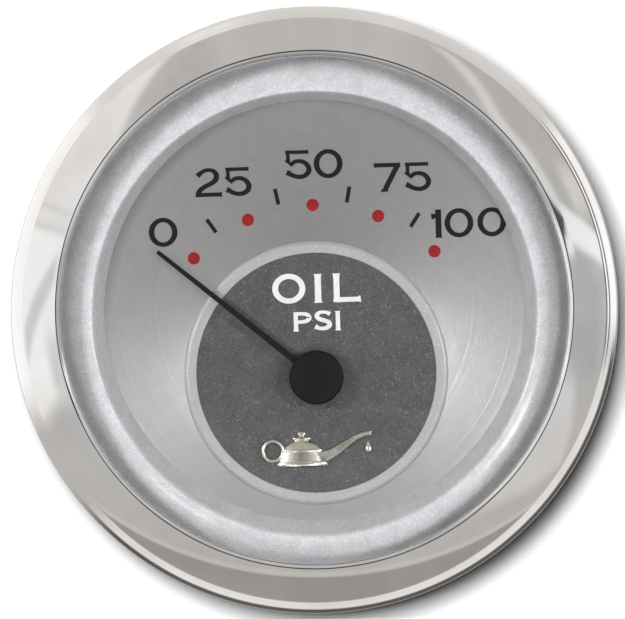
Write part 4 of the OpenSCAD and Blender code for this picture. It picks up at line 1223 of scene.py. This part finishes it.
class GAUGE_OT_clamp(bpy.types.Operator):
    """Bend the clamp strap and screw it on with washers and knurled nuts"""
    bl_idname = "gauge.clamp"
    bl_label = "Clamp"

    def execute(self, context):
        steel = plain_metal("clamp_steel", (0.58, 0.585, 0.59), 0.3, 0.3, 260, 0.03)
        self.strap(steel)
        self.studs()
        section = washer_section(STUD_R + 0.3, 4.98, NUT_TOP, WEB_Z)
        washers = [ring_lathe("washer", section, axis=place, steps=72) for place in CLAMP_STUDS]
        dress(join("clamp_washer_pair", washers), steel, "clamp_steel", "clamp_washers",
              body="clamp")
        self.thumb_nuts()
        return {"FINISHED"}

    @staticmethod
    def strap(steel):
        outer, wall, bend, foot, half = 35.6, 1.5, 3.0, -3.0, 8.0
        inner, x, z = outer - wall, outer - bend, WEB_Z + bend
        section = ([(inner, foot), (outer, foot)] + arc(x, z, bend, 0, -90, 12)
                   + arc(-x, z, bend, -90, -180, 12) + [(-outer, foot), (-inner, foot)]
                   + arc(-x, z, bend - wall, 180, 270, 12) + arc(x, z, bend - wall, -90, 0, 12))
        trace([at(px, -half, pz) for px, pz in section])
        strap = fill_out("clamp_strap", at(0, 2 * half, 0))
        slot_r, run, below, above = STUD_R + 0.45, 1.2, WEB_Z - 1, WEB_Z + 3
        for px, _ in CLAMP_STUDS:
            slot = arc(px + run, 0, slot_r, -90, 90, 16) + arc(px - run, 0, slot_r, 90, 270, 16)
            cut(strap, plate("slot", slot, below, above))
        cut(strap, bar("hole", 5.0, below, above))
        for side in (-1, 1):
            mid = side * (inner + outer) / 2
            notch = oblong(mid - 2, -half / 2, mid + 2, half / 2)
            cut(strap, plate("notch", notch, foot - 1.5, foot + 1.5))
        soften(strap, 0.18, 2, 40)
        dress(strap, steel, "clamp_steel", "clamp_bracket", body="clamp")

    @staticmethod
    def studs():
        steel = plain_metal("bright_steel", (0.6, 0.6, 0.6), 0.24, 0.25, 420)
        head_r, head, collar, shank = 3.58, -34.0, -37.2, -38.4
        blank = [(0, head), (head_r, head), (head_r, BACK_IN), (STUD_R, BACK_IN), (STUD_R, BACK),
                 (head_r, BACK), (head_r, collar), (STUD_R, collar), (STUD_R, shank), (0, shank)]
        stud = headed_stud("clamp_stud_pair", CLAMP_STUDS[0], blank, shank + 0.2, CLAMP_END)
        pair = join("clamp_stud_pair", [stud, copy_to(stud, "twin", CLAMP_APART)])
        dress(pair, steel, "bright_steel", "clamp_studs")

    @staticmethod
    def thumb_nuts():
        radius, depth, count, place = 5.8, 0.42, sizes().knurls, CLAMP_STUDS[0]
        floor, low, high = radius - depth, NUT_TOP - 6.0, NUT_TOP - 1.2
        outline = []
        for i in range(count):
            for share, r in ((0.0, radius), (0.22, radius), (0.5, floor), (0.72, floor)):
                turn = 2 * math.pi * (i + share) / count
                outline.append((place[0] + r * math.cos(turn), place[1] + r * math.sin(turn)))
        nut = plate("left_knurled_nut", outline, low, high + 0.01)
        flat, wide, fall = radius - 0.6, radius + 0.02, 0.55
        dome = [(0, low), (flat, low), (wide, low + fall), (wide, high - fall),
                (flat, high), (flat, high + 0.05), (0, high + 0.05)]
        combine(nut, lathe("dome", dome, place, 96), "INTERSECT")
        neck = lathe("neck", washer_section(0, 4.6, high - 0.1, NUT_TOP, 0.15), place, 72)
        nut = unite([nut, neck])
        recess = [(0, low - 1), (4.2, low - 1), (4.2, low + 0.35), (3.9, low + 0.5), (0, low + 0.5)]
        cut(nut, lathe("recess", recess, place, 64))
        bore_r, mouth = STUD_R + 0.04, STUD_R + 0.34
        bore = [(0, low - 1), (mouth, low + 0.4), (bore_r, low + 0.8), (bore_r, NUT_TOP - 0.3),
                (mouth, NUT_TOP), (mouth, NUT_TOP + 1), (0, NUT_TOP + 1)]
        cut(nut, lathe("bore", bore, place, 48))
        twin = copy_to(smooth(nut, 30), "right_knurled_nut", CLAMP_APART)
        for piece, side, axis in zip((nut, twin), ("left", "right"), CLAMP_STUDS):
            node = side + "_thumb_nut"
            brass = turned_metal(node + "_brass", (0.66, 0.47, 0.17), 0.25, axis, 5000)
            dress(piece, brass, "brass_knurled", node, body=side + "_nut")


class GAUGE_OT_lamp(bpy.types.Operator):
    """Fit the lamp holder with its grommet, insulator, contact and bulb"""
    bl_idname = "gauge.lamp"
    bl_label = "Lamp"

    def execute(self, context):
        hole, lip, groove = 5.1, 7.1, 6.38
        section = ([(hole, BACK - 1.3), (lip, BACK - 1.3)] + arc(lip, BACK - 0.8, 0.5, -90, 0, 5)
                   + [(lip + 0.5, BACK), (groove, BACK), (groove, BACK_IN), (7.2, BACK_IN),
                      (6.5, BACK_IN + 1.2), (6.3, BACK_IN + 1.3), (hole, BACK_IN + 1.3)])
        grommet = ring_lathe("lamp_grommet_ring", section, axis=LAMP, steps=96)
        rubber = moulding("black_rubber", (0.02, 0.02, 0.021), 0.62, 0.15, 0.03)
        dress(grommet, rubber, "black_rubber", "lamp_grommet")
        inner, tube, front, bead, rear = 4.6, 5.0, -27.2, -37.8, -45.0
        section = ([(inner, front), (tube, front), (tube, bead + 0.5)]
                   + arc(tube + 0.3, bead, 0.65, 60, -60, 8)
                   + [(tube, bead - 0.5), (tube, rear + 0.3), (tube - 0.05, rear), (inner, rear)])
        shell = ring_lathe("lamp_tube", section, axis=LAMP, steps=96)
        nickel = turned_metal("lamp_nickel", (0.62, 0.6, 0.56), 0.22, LAMP, 4500)
        core = ring_lathe("lamp_core", washer_section(1.5, 4.58, -44.0, -40.5), axis=LAMP, steps=64)
        brown = fibre("lamp_fibre", (0.2, 0.085, 0.035))
        pin_r, end, disc_r, disc = 1.48, -47.5, 2.6, (-40.4, -39.5)
        section = ([(0, end)] + arc(pin_r - 0.6, end + 0.6, 0.6, -90, 0, 6)
                   + [(pin_r, disc[0]), (disc_r - 0.15, disc[0]), (disc_r, disc[0] + 0.15),
                      (disc_r, disc[1] - 0.15), (disc_r - 0.15, disc[1]), (0, disc[1])])
        pin = lathe("lamp_pin", section, LAMP, 48)
        brass = plain_metal("lamp_brass", (0.64, 0.46, 0.18), 0.25, 0.3, 500)
        bulb_r, base = 4.2, -29.2
        section = [(0, base), (3.7, base), (bulb_r, -27.5)] + arc(0, -18.4, bulb_r, 0, 90, 16)
        bulb = lathe("bulb_envelope", section, LAMP, 64)
        glass = thin_glass("bulb_glass", (0.95, 0.94, 0.88, 1), 0.04)
        for piece, material, slot, node in ((shell, nickel, "lamp_nickel", "lamp_shell"),
                                            (core, brown, "brown_fibre", "lamp_insulator"),
                                            (pin, brass, "brass", "lamp_contact"),
                                            (bulb, glass, "bulb_glass", "bulb_glass")):
            dress(piece, material, slot, node, body="lamp")
        return {"FINISHED"}


class GAUGE_OT_inner_parts(bpy.types.Operator):
    """Give the parts inside the case their own finishes"""
    bl_idname = "gauge.inner_parts"
    bl_label = "Inner parts"

    def execute(self, context):
        steel = plain_metal("inner_screws", (0.6, 0.61, 0.62), 0.28)
        ivory = moulding("ivory_moulding", (0.72, 0.66, 0.5), 0.42)
        brass = plain_metal("inner_brass", (0.62, 0.45, 0.17), 0.26)
        magnet = plain_metal("magnet_black", (0.1, 0.1, 0.105), 0.45)
        inner = {
            "dial_carrier": moulding("white_moulding", (0.82, 0.82, 0.8), 0.4, 0.03),
            "carrier_screws": steel, "movement_screws": steel,
            "bobbin_front": ivory, "bobbin_rear": ivory, "board_spacers": ivory,
            "inner_coil": wound_wire("inner_winding", (0.72, 0.26, 0.09), (0, 0, 1)),
            "outer_coil": wound_wire("outer_winding", (0.72, 0.26, 0.09), (1, 0, 0)),
            "shield_can": plain_metal("shield_steel", (0.5, 0.5, 0.5), 0.35),
            "return_magnet": magnet, "rotor_magnet": magnet,
            "spindle_bearings": brass, "coil_pins": brass, "pointer_bush": brass,
            "bulb_base": brass,
            "circuit_board": circuit_board(),
            "calibrating_resistor": moulding("resistor_tan", (0.55, 0.4, 0.22), 0.4),
            "spindle": plain_metal("spindle_steel", (0.62, 0.62, 0.62), 0.2),
        }
        for node, material in inner.items():
            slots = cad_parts[node].material_slots
            if not slots:
                raise RuntimeError(f"{node} has no material slot")
            for held in slots:
                held.material = material
        return {"FINISHED"}


# Studio. Polished metal sees a room of soft panels, in degrees round the gauge axis and degrees
# away from the line to the camera. A panel's two sides may slant with the second angle.

ROLL = 1.7
WALLS = 0.56
PANELS = (
    # level, first side and slant, second side and slant, nearest and farthest, softness, fade
    (0.60, 66, 0, 112, 0, 0, 95, 4, 5),
    (0.53, 112, 0, 121, -0.15, 0, 95, 3, 5),
    (0.90, 129, -0.257, 201, 0.06, 0, 95, 3, 5),
    (1.05, 163.5, 0, 199, 0.06, 0, 95, 2, 5),
    (0.75, 186, 0, 200, 0, 10, 40, 5, 8),
    (0.74, 175.5, 0.25, 182.5, 0.25, 22, 88, 2.5, 6),
    (0.74, 162.2, 0, 163.4, 0, 14, 92, 0.8, 3),
    (0.74, 158, 0, 159.2, 0, 14, 92, 0.8, 3),
    (0.72, 319, 0.27, 339, -0.33, 0, 92, 4, 6),
    (0.50, 346, 0, 369.8, -0.28, 0, 76, 4, 8),
    (0.80, 20, 0, 30, 0, 60, 95, 4, 8),
    (1.02, 12.1, -0.094, 20.2, -0.14, 28, 93, 1.5, 4),
    (1.00, 12, 0, 16.5, 0, 10, 32, 1.5, 4),
    (0.80, 21, 0, 46, 0, 10, 34, 4, 6),
    (0.80, 51.5, 0.3, 57.5, 0.3, 22, 86, 3, 6),
    (0.08, 29.9, 0.4, 10.7, -0.4, 0, 31, 1, 2),
    (0.92, 225, 0, 352, 0, 94, 119, 6, 4),
    (0.12, 222, 0, 355, 0, 122, 160, 8, 4),
    (1.15, 355, 0, 400, 0, 99, 142, 6, 5),
    (0.12, 350, 0, 399, 0, 91, 99, 5, 1.5),
    (0.80, 40, 0, 137, 0, 94, 165, 8, 4),
    (0.95, 104, 0, 116, 0, 96, 130, 5, 6),
    (1.15, 137, 0, 200, 0, 94, 165, 6, 4),
)


class GAUGE_OT_studio(bpy.types.Operator):
    """Set up the world, the backdrop, the floor, the lamps and the camera of the photograph"""
    bl_idname = "gauge.studio"
    bl_label = "Studio"

    def execute(self, context):
        self.world()
        self.lamps(self.backdrop())
        self.floor()
        self.camera()
        context.scene.view_settings.view_transform = "Standard"
        return {"FINISHED"}

    @staticmethod
    def panel(w, tone, around, away, level, first, lean, second, tilt, near, far, soft, fade):
        """Lays one soft panel over the tone of the room."""
        off = away - 55
        inside = w.maths("WRAP", around - first - off * lean, 180, -180)
        before = w.maths("WRAP", second - around + off * tilt, 180, -180)
        mask = (w.steps(inside, -soft, soft, kind="SMOOTHSTEP")
                * w.steps(before, -soft, soft, kind="SMOOTHSTEP")
                * w.steps(away, near - fade, near + fade) * w.steps(away, far + fade, far - fade))
        return tone + (level - tone) * mask

    def world(self):
        """White to the camera, plain to matt surfaces and a room of panels to polished ones."""
        world = bpy.data.worlds.new("studio")
        bpy.context.scene.world = world
        w = Nodes(world)
        course = w.node("ShaderNodeTexCoord", output="Generated")
        x, y, z = w.parts(course)
        around = w.maths("ARCTAN2", z, x) * (180 / math.pi) + ROLL
        away = w.maths("ARCCOSINE", 0 - y) * (180 / math.pi)
        tone = WALLS
        for panel in PANELS:
            tone = self.panel(w, tone, around, away, *panel)
        tone = self.table(w, tone, around, away)
        tone = tone + (w.steps(z, -0.5, 0.5, 0.3, 0.75) - tone) * w.steps(away, 150, 165)
        lens = Vector((0, -1, 0.09)).normalized()
        camera_side = w.vector("DOT_PRODUCT", course, lens, output="Value")
        tone = tone + (0.05 - tone) * w.steps(camera_side, 0.968, 0.981)
        warmth = w.steps(w.maths("ABSOLUTE", z), 0.1, 0.5)
        tint = w.blend(warmth, (1, 1, 1), (1.0, 0.955, 0.91))
        pure = (1, 1, 1, 1)
        plain, room, white = (
            w.node("ShaderNodeBackground", sockets={"Color": colour, "Strength": strength})
            for colour, strength in ((pure, 0.38), (tint, tone), (pure, 1.0)))
        glossy, seen = (w.node("ShaderNodeLightPath", output=kind)
                        for kind in ("Is Glossy Ray", "Is Camera Ray"))
        lit = w.node("ShaderNodeMixShader", sockets={0: glossy, 1: plain, 2: room})
        last = w.node("ShaderNodeMixShader", sockets={0: seen, 1: lit, 2: white})
        w.node("ShaderNodeOutputWorld", sockets={"Surface": last})

    @staticmethod
    def table(w, tone, around, away):
        """Lays the dark table below and the pale arch of its edge over the tone of the room."""
        below = w.maths("WRAP", around - 270, 180, -180)
        arch = away - below * below * 0.0265 - 28.5
        share = w.steps(w.maths("ABSOLUTE", below), 62, 52) * w.steps(away, 95, 90)
        tone = tone + (0.375 - tone) * (w.steps(arch, 0, 6) * share)
        edge = w.steps(w.maths("ABSOLUTE", arch), 8, 2, kind="SMOOTHSTEP")
        return tone + (0.63 - tone) * (edge * share)

    @staticmethod
    def stage_finish(name, colour, strength, fade):
        """Matt to the camera from the front, as far as fade says, and clear to every other ray."""
        f = Finish(name)
        seen = f.node("ShaderNodeLightPath", output="Is Camera Ray")
        back = f.node("ShaderNodeNewGeometry", output="Backfacing")
        clear = f.node("ShaderNodeBsdfTransparent")
        matt = f.node("ShaderNodeBsdfDiffuse", sockets={"Color": (colour, colour, colour, 1)})
        glow = f.node("ShaderNodeEmission", sockets={"Strength": strength})
        both = f.node("ShaderNodeAddShader", sockets={0: matt, 1: glow})
        share = seen * (1 - back) * fade(f)
        return f.finish(f.node("ShaderNodeMixShader", sockets={0: share, 1: clear, 2: both}))

    def backdrop(self):
        """A round white wall behind, for the drop shadow."""
        deselect()
        bpy.ops.mesh.primitive_circle_add(vertices=96, radius=0.3, fill_type="NGON",
                                          location=(0, 0.3, 0), rotation=(math.pi / 2, 0, 0))
        wall = bpy.context.object
        wall.name = "backdrop"

        def fade(f):
            return f.steps(f.vector("LENGTH", f.place, output="Value"), 0.3, 0.2)

        wall.data.materials.append(self.stage_finish("backdrop", 0.06, 0, fade))
        return wall

    def floor(self):
        """A patch of white floor just under the gauge, out of the photograph's view."""
        deselect()
        half_x, half_y, drop = 0.11, 0.085, 0.006
        bpy.ops.mesh.primitive_grid_add(x_subdivisions=8, y_subdivisions=8, size=0.24,
                                        location=(0, 0, CAD_BOX[0].z - drop))
        floor = bpy.context.object
        floor.name = "floor"

        def fade(f):
            spread = f.vector("MULTIPLY", f.place, (1 / half_x, 1 / half_y, 0))
            return f.steps(f.vector("LENGTH", spread, output="Value"), 1, 0.75, kind="SMOOTHSTEP")

        floor.data.materials.append(self.stage_finish("floor", 0.5, 0.72, fade))

    @staticmethod
    def linked(name, pieces, state):
        """A collection for light linking, with each piece in it set to one state."""
        group = bpy.data.collections.new(name)
        for piece in pieces:
            group.objects.link(piece)
        for held in group.collection_objects:
            held.light_linking.link_state = state
        return group

    def lamp(self, name, place, size, power, seen_by=(), not_by=(), clear=()):
        """A square area lamp that faces the gauge.

        Either seen_by alone receives it or all but not_by do, and clear casts no shadow in it.
        """
        light = bpy.data.lights.new(name, "AREA")
        light.shape, light.size, light.size_y, light.energy = "RECTANGLE", size, size, power
        lamp = bpy.data.objects.new(name, light)
        bpy.context.collection.objects.link(lamp)
        lamp.location = place
        lamp.rotation_mode = "QUATERNION"
        lamp.rotation_quaternion = (-Vector(place)).to_track_quat("-Z", "Y")
        lamp.visible_camera = False
        links = lamp.light_linking
        if seen_by or not_by:
            state = "INCLUDE" if seen_by else "EXCLUDE"
            links.receiver_collection = self.linked(name + "_link", seen_by or not_by, state)
        if clear:
            links.blocker_collection = self.linked(name + "_clear", clear, "EXCLUDE")

    def lamps(self, wall):
        """Lights the gauge. The dial has two lamps of its own, the backdrop one for its shadow."""
        bezel, glass, dial, blade, hub = (bpy.data.objects[name] for name in (
            "polished_bezel", "window_glass", "dial_face", "pointer_blade", "hub_dome"))
        key, fill = bpy.context.scene.gauge_light.key, bpy.context.scene.gauge_light.fill
        away = {"not_by": (wall, bezel, glass)}
        off_dial = {"not_by": (wall, bezel, glass, dial)}
        on_dial = {"seen_by": (dial,), "clear": (blade, hub)}
        self.lamp("key", (-0.172, -0.18, 0.05), 0.045, 0.28 * key, **away)
        self.lamp("right", (0.178, -0.18, 0.015), 0.07, 0.26 * fill, **off_dial)
        self.lamp("dial_left", (-0.132, -0.19, 0.095), 0.07, 0.3 * fill, **on_dial)
        self.lamp("dial_right", (0.138, -0.19, 0.085), 0.07, 0.36 * fill, **on_dial)
        self.lamp("low_left", (-0.13, -0.52, -0.17), 0.06, 0.2 * fill, **off_dial)
        self.lamp("low_right", (0.16, -0.52, -0.1), 0.06, 0.35 * fill, **off_dial)
        self.lamp("rear", (0.35, 0.7, 0.5), 0.6, 4.0 * fill, **away)
        self.lamp("shadow", (-0.0035, -0.6, 0.0035), 0.009, 150, seen_by=(wall,))

    @staticmethod
    def camera():
        data = bpy.data.cameras.new("camera")
        camera = bpy.data.objects.new("camera", data)
        bpy.context.collection.objects.link(camera)
        bpy.context.scene.camera = camera
        pixel, distance, face = 0.1199 * MM, 0.6, -0.006
        axis_x, axis_y = 314.5, 310.0
        data.sensor_fit = "HORIZONTAL"
        data.sensor_width = 36.0
        data.lens = data.sensor_width * distance / (PHOTO_W * pixel)
        data.shift_x = -(axis_x - PHOTO_W / 2) / PHOTO_W
        data.shift_y = (axis_y - PHOTO_H / 2) / PHOTO_W
        camera.matrix_world = (Matrix.Translation((0, face - distance, 0))
                               @ Matrix.Rotation(math.radians(ROLL), 4, "Y")
                               @ Matrix.Rotation(math.pi / 2, 4, "X"))
        data.clip_start, data.clip_end = 0.01, 20


OPERATORS = (
    GAUGE_OT_bezel, GAUGE_OT_window, GAUGE_OT_trim_ring, GAUGE_OT_dial, GAUGE_OT_scale,
    GAUGE_OT_words, GAUGE_OT_emblem, GAUGE_OT_pointer, GAUGE_OT_case, GAUGE_OT_terminals,
    GAUGE_OT_clamp, GAUGE_OT_lamp, GAUGE_OT_inner_parts, GAUGE_OT_studio,
)


class GAUGE_PT_maker(bpy.types.Panel):
    """Lists the gauge's pieces and settings in the sidebar"""
    bl_label = "Oil pressure gauge"
    bl_space_type = "VIEW_3D"
    bl_region_type = "UI"
    bl_category = "Gauge"

    def draw(self, context):
        layout, scene = self.layout, context.scene
        for group in (scene.gauge_colours, scene.gauge_sizes, scene.gauge_light):
            box = layout.box()
            for key in group.__annotations__:
                box.prop(group, key)
        for operator in OPERATORS:
            layout.operator(operator.bl_idname)


GROUPS = {"gauge_colours": GaugeColours, "gauge_sizes": GaugeSizes, "gauge_light": GaugeLight}


def register():
    for group in GROUPS.values():
        bpy.utils.register_class(group)
    for operator in OPERATORS:
        bpy.utils.register_class(operator)
    bpy.utils.register_class(GAUGE_PT_maker)
    for name, group in GROUPS.items():
        setattr(bpy.types.Scene, name, PointerProperty(type=group))


def unregister():
    for name in GROUPS:
        delattr(bpy.types.Scene, name)
    bpy.utils.unregister_class(GAUGE_PT_maker)
    for kind in (*reversed(OPERATORS), *GROUPS.values()):
        bpy.utils.unregister_class(kind)


def main():
    register()
    for operator in OPERATORS:
        name = operator.bl_idname.split(".")[1]
        getattr(bpy.ops.gauge, name)()


if __name__ == "__main__":
    main()
